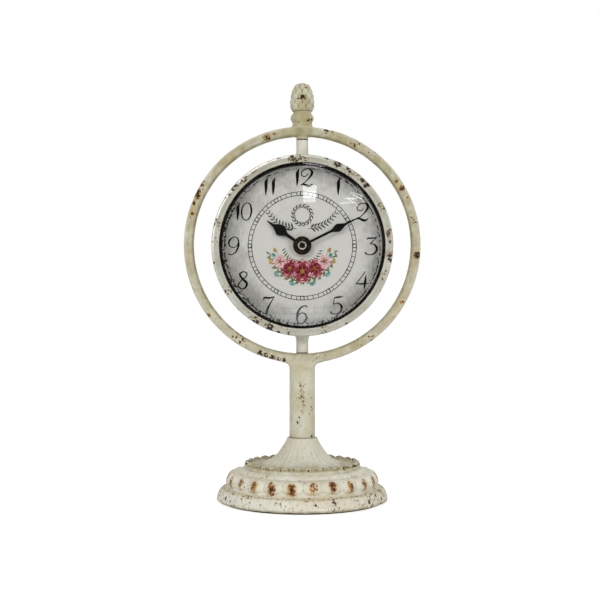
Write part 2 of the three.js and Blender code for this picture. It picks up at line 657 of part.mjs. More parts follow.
function gear(teeth, gearModule, angle, layer, [x, z], isPinion) {
  const front = movementFront + layer - (isPinion ? WHEEL.pinionLead : 0);
  const face = isPinion ? WHEEL.pinionFace : WHEEL.thickness;
  return facePlate(gearShape(teeth, gearModule, angle), front, front + face).translate(x, 0, z);
}

const wheel = (teeth, gearModule, angle, layer, place) => gear(teeth, gearModule, angle, layer, place, false);
const pinion = (teeth, gearModule, angle, layer, place) => gear(teeth, gearModule, angle, layer, place, true);
const midPlateFront = movementFront + LAYER.midPlate;
const midPlateBack = midPlateFront + MOVEMENT.plate;
const bridgeFront = movementFront + LAYER.bridge;
const bridgeBack = bridgeFront + MOVEMENT.plate;
const pivotFront = midPlateFront + CLEARANCE;
const pivotBack = bridgeBack - CLEARANCE;

function movementHousing() {
  const half = MOVEMENT.half;
  const inner = half - MOVEMENT.wall;
  const floor = movementFront + MOVEMENT.frontWall;
  const back = movementBack + OVERRUN;
  const train = block([-inner, inner], [floor, back], [cavityBottom, inner]);
  const bay = block([-inner, inner], [floor, back], [-inner, MOVEMENT.bayHeight - inner]);
  const outside = block([-half, half], [movementFront, movementBack], [-half, half]);
  const bushing = depthRod(MOVEMENT.bushingRadius, bushingFront, movementFront + WELD, SMALL_FACETS);
  const bore = depthBore(HOUR_PIPE.radius, bushingFront, floor, SMALL_FACETS);
  return built([outside, bushing], [train, bay, bore, pivotHole(minutePlace, movementFront, floor)]);
}

function movementLid() {
  const half = MOVEMENT.half;
  const back = movementBack + MOVEMENT.lid;
  const plate = block([-half, half], [movementBack, back], [cavityBottom - MOVEMENT.wall, half]);
  return built([plate], [setHole(movementBack, back)]);
}

function pivotHole(place, front, back) {
  return depthRod(ARBOR.holeRadius, front - OVERRUN, back + OVERRUN, FINE_FACETS, place);
}

function setHole(front, back) {
  return depthBore(SET_KNOB.shaftRadius, front, back, FINE_FACETS, setPlace);
}

// Middle plate with the studs that carry the stator.
function midPlate() {
  const inner = MOVEMENT.half - MOVEMENT.wall - CLEARANCE;
  const plate = block(
    [-inner, MOVEMENT.plateRight], [midPlateFront, midPlateBack], [cavityBottom + CLEARANCE, inner]);
  const statorFront = movementFront + LAYER.stator;
  const studs = [STUDS.low, STUDS.high].map((place) => (
    depthRod(STUDS.radius, midPlateFront, statorFront, FINE_FACETS, place)));
  const holes = [minutePlace, thirdPlace, fifthPlace, rotorPlace].map((place) => (
    pivotHole(place, midPlateFront, midPlateBack)));
  const arborHole = depthBore(MINUTE_ARBOR.radius, midPlateFront, midPlateBack, SMALL_FACETS);
  return built([plate, ...studs], [...holes, arborHole, setHole(midPlateFront, midPlateBack)]);
}

// Rear bridge, standing on three pillars behind the middle plate.
function trainBridge() {
  const left = rotorPlace[0] - MAGNET.radius;
  const plate = block([left, MOVEMENT.plateRight], [bridgeFront, bridgeBack],
    [cavityBottom + CLEARANCE, PILLARS.top[1] + PILLAR_RADIUS * 2]);
  const pillars = Object.values(PILLARS).map((place) => (
    depthRod(PILLAR_RADIUS, midPlateBack, bridgeBack, FINE_FACETS, place)));
  const holes = [centrePlace, thirdPlace, fifthPlace, rotorPlace].map((place) => (
    pivotHole(place, bridgeFront, bridgeBack)));
  return built([plate, ...pillars], [...holes, setHole(bridgeFront, bridgeBack)]);
}

function statorPlate() {
  const outline = [
    [-STATOR.left, -STATOR.bottom], [-STATOR.right, -STATOR.bottom], [-STATOR.right, STATOR.shoulder],
    [-STATOR.limbRight, STATOR.shoulder], [-STATOR.limbRight, STATOR.top],
    [-STATOR.left, STATOR.top], [-STATOR.left, STATOR.yokeTop], [-STATOR.limbLeft, STATOR.yokeTop],
    [-STATOR.limbLeft, -STATOR.yokeBottom], [-STATOR.left, -STATOR.yokeBottom],
  ];
  const front = movementFront + LAYER.stator;
  const shape = new THREE.Shape(outline.map(([x, z]) => new THREE.Vector2(x, z)));
  const plate = facePlate(shape, front, front + STATOR.thickness);
  const bore = depthRod(STATOR.bore, front - OVERRUN, front + OVERRUN * 2, SMALL_FACETS, rotorPlace);
  return built([plate], [bore]);
}

// Winding between two flanges on a flat core that lies on the stator.
function coil() {
  const coreFront = movementFront + LAYER.stator + STATOR.thickness;
  const coreBack = coreFront + STATOR.thickness;
  const low = CLEARANCE - STATOR.yokeBottom;
  const high = STATOR.yokeTop - CLEARANCE;
  const middle = coreFront - STATOR.thickness / 2;
  const turned = (radius, bottom, top) => (
    uprightRod(radius, bottom, top, SMALL_FACETS).translate(-COIL.across, middle, 0));
  const coreHalf = COIL.coreWidth / 2;
  const core = block([-coreHalf, coreHalf], [coreFront, coreBack], [-STATOR.bottom, STATOR.top])
    .translate(-COIL.across, 0, 0);
  return built([
    turned(COIL.radius, low, high), turned(COIL.flangeRadius, low, low + COIL.flange),
    turned(COIL.flangeRadius, high - COIL.flange, high), core,
  ]);
}

// Board with the quartz can and the chip soldered on it.
function circuitBoard() {
  const inner = MOVEMENT.half - MOVEMENT.wall - CLEARANCE;
  const front = movementFront + BOARD.layer;
  const back = front + BOARD.thickness;
  const board = block([BOARD.left, inner], [front, back], [cavityBottom + CLEARANCE, inner]);
  const middle = (BOARD.left + inner) / 2;
  const can = uprightRod(BOARD.canRadius, 0, BOARD.canLength, FINE_FACETS)
    .translate(middle, back + BOARD.canRadius / 2, 0);
  const chipHalf = BOARD.chip / 2;
  const chipMiddle = BOARD.canLength * 2 + chipHalf;
  const chip = block([middle - chipHalf, middle + chipHalf], [back - WELD / 2, back + BOARD.chipHeight],
    [chipMiddle - chipHalf, chipMiddle + chipHalf]);
  return built([board, can, chip]);
}

// Motion works and going train

function arbor(place, front, back, radius = ARBOR.radius) {
  return depthRod(radius, front, back, FINE_FACETS, place);
}

function hourWheel() {
  const back = movementFront + LAYER.hour + WHEEL.thickness;
  const pipe = turnedOnDepth([
    [HOUR_PIPE.radius, hourHandBack], [HOUR_PIPE.radius, back], [0, back], [0, hourPipeFront],
    [HOUR_PIPE.shoulderRadius, hourPipeFront], [HOUR_PIPE.shoulderRadius, hourHandBack],
    [HOUR_PIPE.radius, hourHandBack],
  ], SMALL_FACETS);
  const disc = wheel(TEETH.hourWheel, hourModule, hourWheelAngle, LAYER.hour, centrePlace);
  const bore = depthRod(HOUR_PIPE.bore, hourPipeFront - OVERRUN, back + OVERRUN, SMALL_FACETS);
  return built([disc, pipe], [bore]);
}

function minuteArbor() {
  const back = movementFront + LAYER.third - WHEEL.pinionLead - CLEARANCE;
  const threadFront = stepFront - CAP_NUT.skirt;
  const cannon = pinion(TEETH.cannonPinion, MODULE.hands, 0, LAYER.minute, centrePlace);
  const bore = depthRod(MINUTE_ARBOR.centreBore, back - MINUTE_ARBOR.boreDepth, back + OVERRUN, FINE_FACETS);
  return built([
    depthRod(MINUTE_ARBOR.radius, minuteHandBack, back, SMALL_FACETS),
    depthRod(MINUTE_ARBOR.threadRadius, threadFront, minuteHandBack + WELD, FINE_FACETS), cannon,
  ], [bore]);
}

function minuteWheel() {
  return built([
    wheel(TEETH.minuteWheel, MODULE.hands, minuteWheelAngle, LAYER.minute, minutePlace),
    pinion(TEETH.minutePinion, hourModule, 0, LAYER.hour, minutePlace),
    arbor(minutePlace, movementFront + CLEARANCE, midPlateBack - CLEARANCE),
  ]);
}

function settingKnob() {
  const knobFront = movementBack + MOVEMENT.lid + CLEARANCE;
  const knobShape = new THREE.Shape();
  for (let step = 0; step < SET_KNOB.grips * 2; step += 1) {
    const turn = step * Math.PI / SET_KNOB.grips;
    const radius = SET_KNOB.radius - (step % 2) * SET_KNOB.gripDepth;
    const point = [radius * Math.cos(turn), radius * Math.sin(turn)];
    if (step === 0) knobShape.moveTo(...point);
    else knobShape.lineTo(...point);
  }
  return built([
    pinion(TEETH.setPinion, MODULE.hands, setPinionAngle, LAYER.minute, setPlace),
    arbor(setPlace, movementFront + MOVEMENT.frontWall + CLEARANCE, knobFront + WELD, SET_KNOB.shaftRadius),
    facePlate(knobShape, knobFront, knobFront + SET_KNOB.thickness).translate(setPlace[0], 0, setPlace[1]),
  ]);
}

function centreWheel() {
  const disc = wheel(TEETH.centreWheel, centreModule, centreWheelAngle, LAYER.centre, centrePlace);
  const front = movementFront + LAYER.centre;
  return built([disc], [depthBore(MINUTE_ARBOR.radius, front, front + WHEEL.thickness, SMALL_FACETS)]);
}

function thirdWheel() {
  return built([
    wheel(TEETH.thirdWheel, MODULE.third, thirdWheelAngle, LAYER.third, thirdPlace),
    pinion(TEETH.thirdPinion, centreModule, 0, LAYER.centre, thirdPlace),
    arbor(thirdPlace, pivotFront, pivotBack),
  ]);
}

function secondWheel() {
  const front = movementFront + LAYER.centre - WHEEL.pinionLead;
  return built([
    wheel(TEETH.secondWheel, MODULE.second, 0, LAYER.second, centrePlace),
    pinion(TEETH.secondPinion, MODULE.third, 0, LAYER.third, centrePlace),
    arbor(centrePlace, front, pivotBack, SECOND_ARBOR_RADIUS),
  ]);
}

function fifthWheel() {
  return built([
    wheel(TEETH.fifthWheel, MODULE.rotor, 0, LAYER.fifth, fifthPlace),
    pinion(TEETH.fifthPinion, MODULE.second, fifthPinionAngle, LAYER.second, fifthPlace),
    arbor(fifthPlace, pivotFront, pivotBack),
  ]);
}

function rotor() {
  return built([
    pinion(TEETH.rotorPinion, MODULE.rotor, rotorPinionAngle, LAYER.fifth, rotorPlace),
    arbor(rotorPlace, pivotFront, pivotBack),
  ]);
}

function rotorMagnet() {
  const front = movementFront + LAYER.stator - (MAGNET.length - STATOR.thickness) / 2;
  const back = front + MAGNET.length;
  const bore = depthRod(MAGNET.bore, front - OVERRUN, back + OVERRUN, FINE_FACETS, rotorPlace);
  return built([depthRod(MAGNET.radius, front, back, SMALL_FACETS, rotorPlace)], [bore]);
}

// Fixings at the dial

function tappedRing(radius, front, back, facets) {
  return built([depthRod(radius, front, back, facets)],
    [depthBore(MOVEMENT.bushingRadius, front, back, SMALL_FACETS)]);
}

// A spade hand drawn upright and turned clockwise to the time that it shows.
function spadeHand(hand, holeRadius, back, turnShare) {
  const half = hand.bladeLength / 2;
  const blade = new THREE.Shape();
  blade.moveTo(-hand.stemHalf, 0);
  blade.lineTo(-hand.stemHalf, hand.blade - half);
  blade.quadraticCurveTo(-hand.bladeHalf, hand.blade - half, -hand.bladeHalf, hand.blade);
  blade.quadraticCurveTo(-hand.bladeHalf, hand.blade + half / 2, -hand.stemHalf, hand.blade + half);
  blade.lineTo(-hand.tipHalf, hand.length);
  blade.lineTo(hand.tipHalf, hand.length);
  blade.lineTo(hand.stemHalf, hand.blade + half);
  blade.quadraticCurveTo(hand.bladeHalf, hand.blade + half / 2, hand.bladeHalf, hand.blade);
  blade.quadraticCurveTo(hand.bladeHalf, hand.blade - half, hand.stemHalf, hand.blade - half);
  blade.lineTo(hand.stemHalf, 0);
  const front = back - HAND.thickness;
  return built(
    [facePlate(blade, front, back), depthRod(hand.hubRadius, front, back, MIDDLE_FACETS)],
    [depthBore(holeRadius, front, back, SMALL_FACETS)],
  ).rotateY(turnShare * 2 * Math.PI);
}

function handWasher() {
  const back = minuteHandFront;
  const flangeFront = back - HAND_WASHER.thickness;
  const profile = [
    [0, stepFront], [HAND_WASHER.stepRadius, stepFront], [HAND_WASHER.stepRadius, flangeFront],
    [HAND_WASHER.radius, flangeFront], [HAND_WASHER.radius, back], [0, back],
  ];
  const bore = depthBore(MINUTE_ARBOR.threadRadius, stepFront, back, FINE_FACETS);
  return built([turnedOnDepth(profile, MIDDLE_FACETS)], [bore]);
}

function capNut() {
  const skirtFront = stepFront - CAP_NUT.skirt;
  const dome = CAP_SHARES.map(([across, rise]) => [
    CAP_NUT.radius * across, skirtFront - (CAP_NUT.height - CAP_NUT.skirt) * rise,
  ]).reverse();
  const body = turnedOnDepth([...dome, [CAP_NUT.radius, stepFront], [0, stepFront]], MIDDLE_FACETS);
  const boreRadius = MINUTE_ARBOR.threadRadius + CLEARANCE;
  return built([body], [depthRod(boreRadius, skirtFront - CLEARANCE, stepFront + OVERRUN, FINE_FACETS)]);
}

// Battery and contacts

const batteryHeight = MOVEMENT.bayHeight / 2 - (MOVEMENT.half - MOVEMENT.wall);
const batteryDepth = movementFront + MOVEMENT.frontWall + CLEARANCE + BATTERY.radius;

function battery() {
  const end = BATTERY.length / 2;
  const shoulder = end - BATTERY.nubLength;
  return turnedUpright([
    [0, -end], [BATTERY.radius, -end], [BATTERY.radius, shoulder], [BATTERY.nubRadius, shoulder],
    [BATTERY.nubRadius, end], [0, end],
  ], MIDDLE_FACETS).rotateY(Math.PI / 2).translate(0, batteryDepth, batteryHeight);
}

// Contact plate at one end of the battery bay, with a pressed dimple that meets the battery.
function contact(side) {
  const outside = MOVEMENT.half - MOVEMENT.wall - CLEARANCE;
  const inside = outside - CONTACT.thickness;
  const halfHeight = CONTACT.height / 2;
  const halfDepth = CONTACT.depth / 2;
  const plate = block([inside, outside], [-halfDepth, halfDepth], [-halfHeight, halfHeight]);
  const dimpleTop = outside - CONTACT.thickness / 2;
  const dimple = uprightRod(CONTACT.dimpleRadius, BATTERY.length / 2 + CLEARANCE, dimpleTop, FINE_FACETS)
    .rotateY(Math.PI / 2);
  return built([plate, dimple]).rotateY(side < 0 ? Math.PI : 0).translate(0, batteryDepth, batteryHeight);
}

// Assembly

function buildStand() {
  const stand = new THREE.Group();
  const washerPlastic = () => material(0x2a2824, 0.7, 0);
  addPart(stand, 'base_pad', basePad(), material(0x2e2b27, 0.95, 0));
  addPart(stand, 'base_foot', baseFoot(), paintedIron());
  addPart(stand, 'base_flare', baseFlare(), paintedIron());
  addPart(stand, 'base_washer', baseWasher(), bareSteel());
  addPart(stand, 'base_nut', baseNut(), bareSteel());
  addPart(stand, 'tie_rod', tieRod(), bareSteel());
  addPart(stand, 'ring_frame', ringFrame(), paintedIron());
  addPart(stand, 'lower_thrust_washer', thrustWasher(lowerStubTop), washerPlastic());
  addPart(stand, 'upper_thrust_washer', thrustWasher(upperWasherBottom), washerPlastic());
  addPart(stand, 'upper_pivot_rod', upperPivotRod(), bareSteel());
  addPart(stand, 'finial_collar', finialCollar(), paintedIron());
  addPart(stand, 'finial_cone', finialCone(), paintedIron());
  return stand;
}

function buildCase() {
  const clockCase = new THREE.Group();
  addPart(clockCase, 'case_band', caseBand(), paintedIron());
  addPart(clockCase, 'upper_tube', pivotTube(), paintedIron());
  addPart(clockCase, 'lower_tube', pivotTube().rotateY(Math.PI), paintedIron());
  addPart(clockCase, 'bezel', bezel(), paintedIron());
  addPart(clockCase, 'lens_gasket', rimRing(GASKET.width, gasketFront, lensEdgeFront), blackPlastic());
  const glass = material(0xf2f6f6, 0.05, 0);
  glass.transparent = true;
  glass.opacity = 0.25;
  addPart(clockCase, 'lens', lens(), glass);
  addPart(clockCase, 'spacer_ring', rimRing(SPACER.width, spacerFront, dialFront), blackPlastic());
  addPart(clockCase, 'dial', dial(), material(0xc3c2ba, 0.8, 0));
  addPart(clockCase, 'back_cover', backCover(), paintedIron());
  coverScrewPlaces.forEach((place, i) => {
    addPart(clockCase, `back_screw_${i + 1}`, coverScrew(place), bareSteel());
  });
  return clockCase;
}

function buildMovement() {
  const movement = new THREE.Group();
  const rubberWasher = tappedRing(RUBBER_WASHER.radius, dialBack, movementFront, SMALL_FACETS);
  const dialWasher = tappedRing(DIAL_WASHER.radius, dialFront - DIAL_WASHER.thickness, dialFront, SMALL_FACETS);
  const dialNut = tappedRing(DIAL_NUT.acrossCorners / 2, nutFront, nutFront + DIAL_NUT.thickness, HEX_FACETS);
  addPart(movement, 'movement_housing', movementHousing(), blackPlastic());
  addPart(movement, 'movement_lid', movementLid(), blackPlastic());
  addPart(movement, 'middle_plate', midPlate(), whitePlastic());
  addPart(movement, 'train_bridge', trainBridge(), whitePlastic());
  addPart(movement, 'rubber_washer', rubberWasher, material(0x161616, 0.9, 0));
  addPart(movement, 'dial_washer', dialWasher, brass());
  addPart(movement, 'dial_nut', dialNut, brass());
  addPart(movement, 'stator', statorPlate(), bareSteel());
  addPart(movement, 'coil', coil(), material(0xa05a2c, 0.5, 0.6));
  addPart(movement, 'circuit_board', circuitBoard(), material(0x2f5a35, 0.6, 0));
  addPart(movement, 'positive_contact', contact(1), bareSteel());
  addPart(movement, 'negative_contact', contact(-1), bareSteel());
  addPart(movement, 'battery', battery(), material(0x3b3f45, 0.45, 0.3));
  return movement;
}

function buildTrain() {
  const train = new THREE.Group();
  const black = () => material(0x0d0d0d, 0.45, 0.4);
  addPart(train, 'hour_wheel', hourWheel(), whitePlastic());
  addPart(train, 'hour_hand', spadeHand(HOUR_HAND, HOUR_PIPE.shoulderRadius, hourHandBack,
    SHOWN_TURN_SHARES.hour), black());
  addPart(train, 'minute_arbor', minuteArbor(), brass());
  addPart(train, 'minute_hand', spadeHand(MINUTE_HAND, MINUTE_ARBOR.threadRadius, minuteHandBack,
    SHOWN_TURN_SHARES.minute), black());
  addPart(train, 'hand_washer', handWasher(), brass());
  addPart(train, 'cap_nut', capNut(), material(0xd9d6cf, 0.15, 1));
  addPart(train, 'minute_wheel', minuteWheel(), whitePlastic());
  addPart(train, 'setting_knob', settingKnob(), whitePlastic());
  addPart(train, 'centre_wheel', centreWheel(), whitePlastic());
  addPart(train, 'third_wheel', thirdWheel(), whitePlastic());
  addPart(train, 'second_wheel', secondWheel(), whitePlastic());
  addPart(train, 'fifth_wheel', fifthWheel(), whitePlastic());
  addPart(train, 'rotor_pinion', rotor(), whitePlastic());
  addPart(train, 'rotor_magnet', rotorMagnet(), material(0x4a4a4c, 0.4, 0.7));
  return train;
}

const swingClock = new THREE.Group();
const hangingCase = new THREE.Group();
hangingCase.position.set(0, 0, caseCentre);
hangingCase.add(buildCase(), buildMovement(), buildTrain());
swingClock.add(buildStand(), hangingCase);

export default swingClock;
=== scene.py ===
"""Looks of a swing clock: a round clock that turns inside the iron ring of its old painted stand."""

import logging
import math
from contextlib import contextmanager
from dataclasses import dataclass
from enum import Enum
from typing import Callable, Iterator, Sequence

import bpy
import numpy as np
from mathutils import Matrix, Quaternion, Vector


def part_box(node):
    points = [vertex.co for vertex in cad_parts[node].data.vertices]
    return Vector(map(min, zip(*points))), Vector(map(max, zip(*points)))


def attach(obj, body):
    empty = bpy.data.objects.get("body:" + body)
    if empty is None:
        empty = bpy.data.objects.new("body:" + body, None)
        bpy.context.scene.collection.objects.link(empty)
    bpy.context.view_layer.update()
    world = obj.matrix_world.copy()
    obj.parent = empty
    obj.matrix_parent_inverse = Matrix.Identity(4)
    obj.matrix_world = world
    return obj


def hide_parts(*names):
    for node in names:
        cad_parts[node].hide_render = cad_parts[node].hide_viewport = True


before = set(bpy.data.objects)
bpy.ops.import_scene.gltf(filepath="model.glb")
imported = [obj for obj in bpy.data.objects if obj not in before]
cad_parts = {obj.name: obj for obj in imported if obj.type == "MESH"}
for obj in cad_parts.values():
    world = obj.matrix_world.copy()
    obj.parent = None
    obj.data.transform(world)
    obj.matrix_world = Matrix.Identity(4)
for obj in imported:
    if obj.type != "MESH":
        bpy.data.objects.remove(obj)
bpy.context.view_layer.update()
log = logging.getLogger("swing_clock")

MM = 0.001
TURN = 2 * math.pi
MERGE = 1e-6
ROW = 1e-5
Pair = tuple[float, float]
Place = tuple[float, float, float]
Rows = Sequence[Sequence[float]]
Weight = Callable[[np.ndarray], np.ndarray]


class Axis(Enum):
    """Axis that a piece is turned about."""

    UPRIGHT = (0, 0, 1)
    DEPTH = (0, 1, 0)


class Blend(Enum):
    """How a piece is joined with or cut by another."""

    ADD = "UNION"
    CUT = "DIFFERENCE"


# Bench work: what a modeller does by hand


def pick_only(piece: bpy.types.Object) -> None:
    """Selects one object and nothing else, and makes it the active one."""
    for other in bpy.context.selected_objects:
        other.select_set(False)
    piece.select_set(True)
    bpy.context.view_layer.objects.active = piece


@contextmanager
def editing(piece: bpy.types.Object) -> Iterator[None]:
    """Opens a piece in edit mode with everything selected, and closes it again."""
    pick_only(piece)
    bpy.ops.object.mode_set(mode="EDIT")
    bpy.ops.mesh.select_all(action="SELECT")
    yield
    bpy.ops.object.mode_set(mode="OBJECT")


def places(piece: bpy.types.Object) -> np.ndarray:
    """The places of a piece's vertices as an array with a row for each."""
    rows = np.empty(len(piece.data.vertices) * 3, np.float32)
    piece.data.vertices.foreach_get("co", rows)
    return rows.reshape(-1, 3).astype(float)


def seeded(name: str, at: Place) -> bpy.types.Object:
    """A new piece that is one vertex, ready to be drawn out into an outline.

    Args:
        name: The piece's name.
        at: Where the vertex lies.

    Returns:
        The new object, at the origin.
    """
    bpy.ops.mesh.primitive_plane_add(size=1 * MM)
    piece = bpy.context.active_object
    piece.name = piece.data.name = name
    with editing(piece):
        bpy.ops.mesh.merge(type="CENTER")
        bpy.ops.transform.translate(value=at)
    return piece


def drawn(name: str, line: Sequence[Place], close: bool = False) -> bpy.types.Object:
    """A line drawn from point to point by extruding a vertex.

    Args:
        name: The piece's name.
        line: The points of the line.
        close: True to join the last point to the first and fill the outline.

    Returns:
        The new object.
    """
    piece = seeded(name, line[0])
    with editing(piece):
        for before, after in zip(line, line[1:]):
            step = Vector(after) - Vector(before)
            bpy.ops.mesh.extrude_vertices_move(TRANSFORM_OT_translate={"value": step})
        bpy.ops.mesh.select_all(action="SELECT")
        if close:
            bpy.ops.mesh.edge_face_add()
    return piece


def turned(
    name: str, profile: Sequence[Pair], axis: Axis, steps: int, centre: Place = (0, 0, 0)
) -> bpy.types.Object:
    """A profile drawn as a line and spun into a body.

    Args:
        name: The piece's name.
        profile: Points as (radius, place along the axis), in metres.
        axis: The axis to spin about.
        steps: How many steps go round.
        centre: A point on the axis, from which the profile is measured.

    Returns:
        The new object, closed and with its faces pointing out.
    """
    if axis is Axis.UPRIGHT:
        line = [(centre[0] + radius, centre[1], centre[2] + along) for radius, along in profile]
    else:
        line = [(centre[0] + radius, centre[1] + along, centre[2]) for radius, along in profile]
    piece = drawn(name, line)
    with editing(piece):
        bpy.ops.mesh.spin(steps=steps, angle=TURN, center=centre, axis=axis.value)
        bpy.ops.mesh.select_all(action="SELECT")
        bpy.ops.mesh.remove_doubles(threshold=MERGE)
        bpy.ops.mesh.normals_make_consistent(inside=False)
    return piece


def cut_out(name: str, outline: Sequence[Pair], front: float, back: float) -> bpy.types.Object:
    """A flat piece, cut to an outline that is drawn as seen from the front.

    Args:
        name: The piece's name.
        outline: Points as (across, up).
        front: Depth of its front face.
        back: Depth of its back face.

    Returns:
        The new object, closed and with its faces pointing out.
    """
    piece = drawn(name, [(x, front, z) for x, z in outline], close=True)
    with editing(piece):
        bpy.ops.mesh.extrude_region_move(TRANSFORM_OT_translate={"value": (0, back - front, 0)})
        bpy.ops.mesh.select_all(action="SELECT")
        bpy.ops.mesh.normals_make_consistent(inside=False)
    return piece


def flowing(points: Rows, steps: int) -> list[tuple[float, ...]]:
    """A smooth curve through points.

    Args:
        points: The points that it passes, with as many numbers each as is wanted.
        steps: How many steps there are from each point to the next.

    Returns:
        The points of the curve, the first and the last included.
    """
    held = np.array([points[0], *points, points[-1]], float)
    held[0] = 2 * held[1] - held[2]
    held[-1] = 2 * held[-2] - held[-3]
    found = []
    for a, b, c, d in zip(held, held[1:], held[2:], held[3:]):
        for step in range(steps):
            t = step / steps
            bend, twist = 2 * a - 5 * b + 4 * c - d, 3 * b - a - 3 * c + d
            spot = 0.5 * (2 * b + (c - a) * t + bend * t**2 + twist * t**3)
            found.append(tuple(float(value) for value in spot))
    found.append(tuple(float(value) for value in held[-2]))
    return found


def in_mm(points: Rows) -> list[Pair]:
    """The same points, given in millimetres, in metres."""
    return [(a * MM, b * MM) for a, b in points]


def applied(piece: bpy.types.Object, kind: str, **settings: object) -> None:
    """Adds a modifier to a piece, sets it and applies it."""
    pick_only(piece)
    modifier = piece.modifiers.new(kind.title(), kind)
    for key, value in settings.items():
        setattr(modifier, key, value)
    bpy.ops.object.modifier_apply(modifier=modifier.name)


def softened(piece: bpy.types.Object, width: float, segments: int = 2, degrees: float = 30) -> None:
    """Rounds the edges of a piece that are sharper than some degrees."""
    limit = math.radians(degrees)
    applied(piece, "BEVEL", width=width, segments=segments, limit_method="ANGLE", angle_limit=limit)


def swelled(piece: bpy.types.Object, weight: Weight, height: float) -> None:
    """Pushes a piece's surface out where a weight says so.

    Args:
        piece: The piece.
        weight: Takes the vertices' places and gives a share from 0 to 1 for each.
        height: How far the surface moves at a share of 1.
    """
    fine = 250
    levels = np.round(np.clip(weight(places(piece)), 0, 1) * fine).astype(int)
    group = piece.vertex_groups.new(name="swell")
    for level in np.unique(levels):
        group.add(np.nonzero(levels == level)[0].tolist(), level / fine, "REPLACE")
    applied(piece, "DISPLACE", strength=height, mid_level=0, vertex_group="swell")
    piece.vertex_groups.clear()


def uneven(piece: bpy.types.Object, height: float, size: float) -> None:
    """Gives a casting its slightly uneven skin.

    Args:
        piece: The piece.
        height: How far the skin rises and falls in all, in millimetres.
        size: How large its hollows are, in millimetres.
    """
    texture = bpy.data.textures.new(f"skin_{piece.name}", "CLOUDS")
    texture.noise_scale = size * MM
    applied(piece, "DISPLACE", strength=height * MM, mid_level=0.5, texture=texture, texture_coords="LOCAL")


def blended(piece: bpy.types.Object, tool: bpy.types.Object, how: Blend) -> None:
    """Joins a piece with a tool or cuts the tool out of it, and removes the tool."""
    applied(piece, "BOOLEAN", object=tool, operation=how.value, solver="EXACT")
    bpy.data.objects.remove(tool)


def refined(node: str, name: str, edge: float) -> bpy.types.Object:
    """A copy of a plain CAD node with its facets joined and its edges rounded.

    Args:
        node: The CAD node.
        name: The new piece's name.
        edge: Width of the rounded edges.

    Returns:
        The new object.
    """
    piece = bpy.data.objects.new(name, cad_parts[node].data.copy())
    bpy.context.scene.collection.objects.link(piece)
    with editing(piece):
        bpy.ops.mesh.remove_doubles(threshold=MERGE)
        bpy.ops.mesh.dissolve_limited(angle_limit=math.radians(1))
    softened(piece, edge, 2, 40)
    return piece


def painted(piece: bpy.types.Object, name: str, weight: Weight) -> None:
    """Stores a share from 0 to 1 for each vertex, which a finish reads by name."""
    attribute = piece.data.attributes.new(name, "FLOAT", "POINT")
    attribute.data.foreach_set("value", np.clip(weight(places(piece)), 0, 1).astype(np.float32))


def settled(
    piece: bpy.types.Object, body: str, nodes: Sequence[str], finish: "Finish",
    degrees: float = 35,
) -> None:
    """Finishes a piece: its material, its shading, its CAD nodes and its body.

    Args:
        piece: The modelled piece.
        body: The CAD body that it rides on.
        nodes: The CAD nodes that it stands for.
        finish: The finish that it gets.
        degrees: Edges sharper than this stay sharp.
    """
    piece.data.materials.clear()
    piece.data.materials.append(finish.material())
    pick_only(piece)
    bpy.ops.object.shade_smooth_by_angle(angle=math.radians(degrees))
    if nodes:
        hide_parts(*nodes)
    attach(piece, body)
    log.info("%s rides on %s, %d faces", piece.name, body, len(piece.data.polygons))


# Colours and finishes


def shade(code: str) -> tuple[float, float, float, float]:
    """A colour written as six hexadecimal digits, as the shader takes it."""
    channels = [int(code[i : i + 2], 16) / 255 for i in (0, 2, 4)]
    linear = [c / 12.92 if c <= 0.04045 else ((c + 0.055) / 1.055) ** 2.4 for c in channels]
    return (*linear, 1.0)


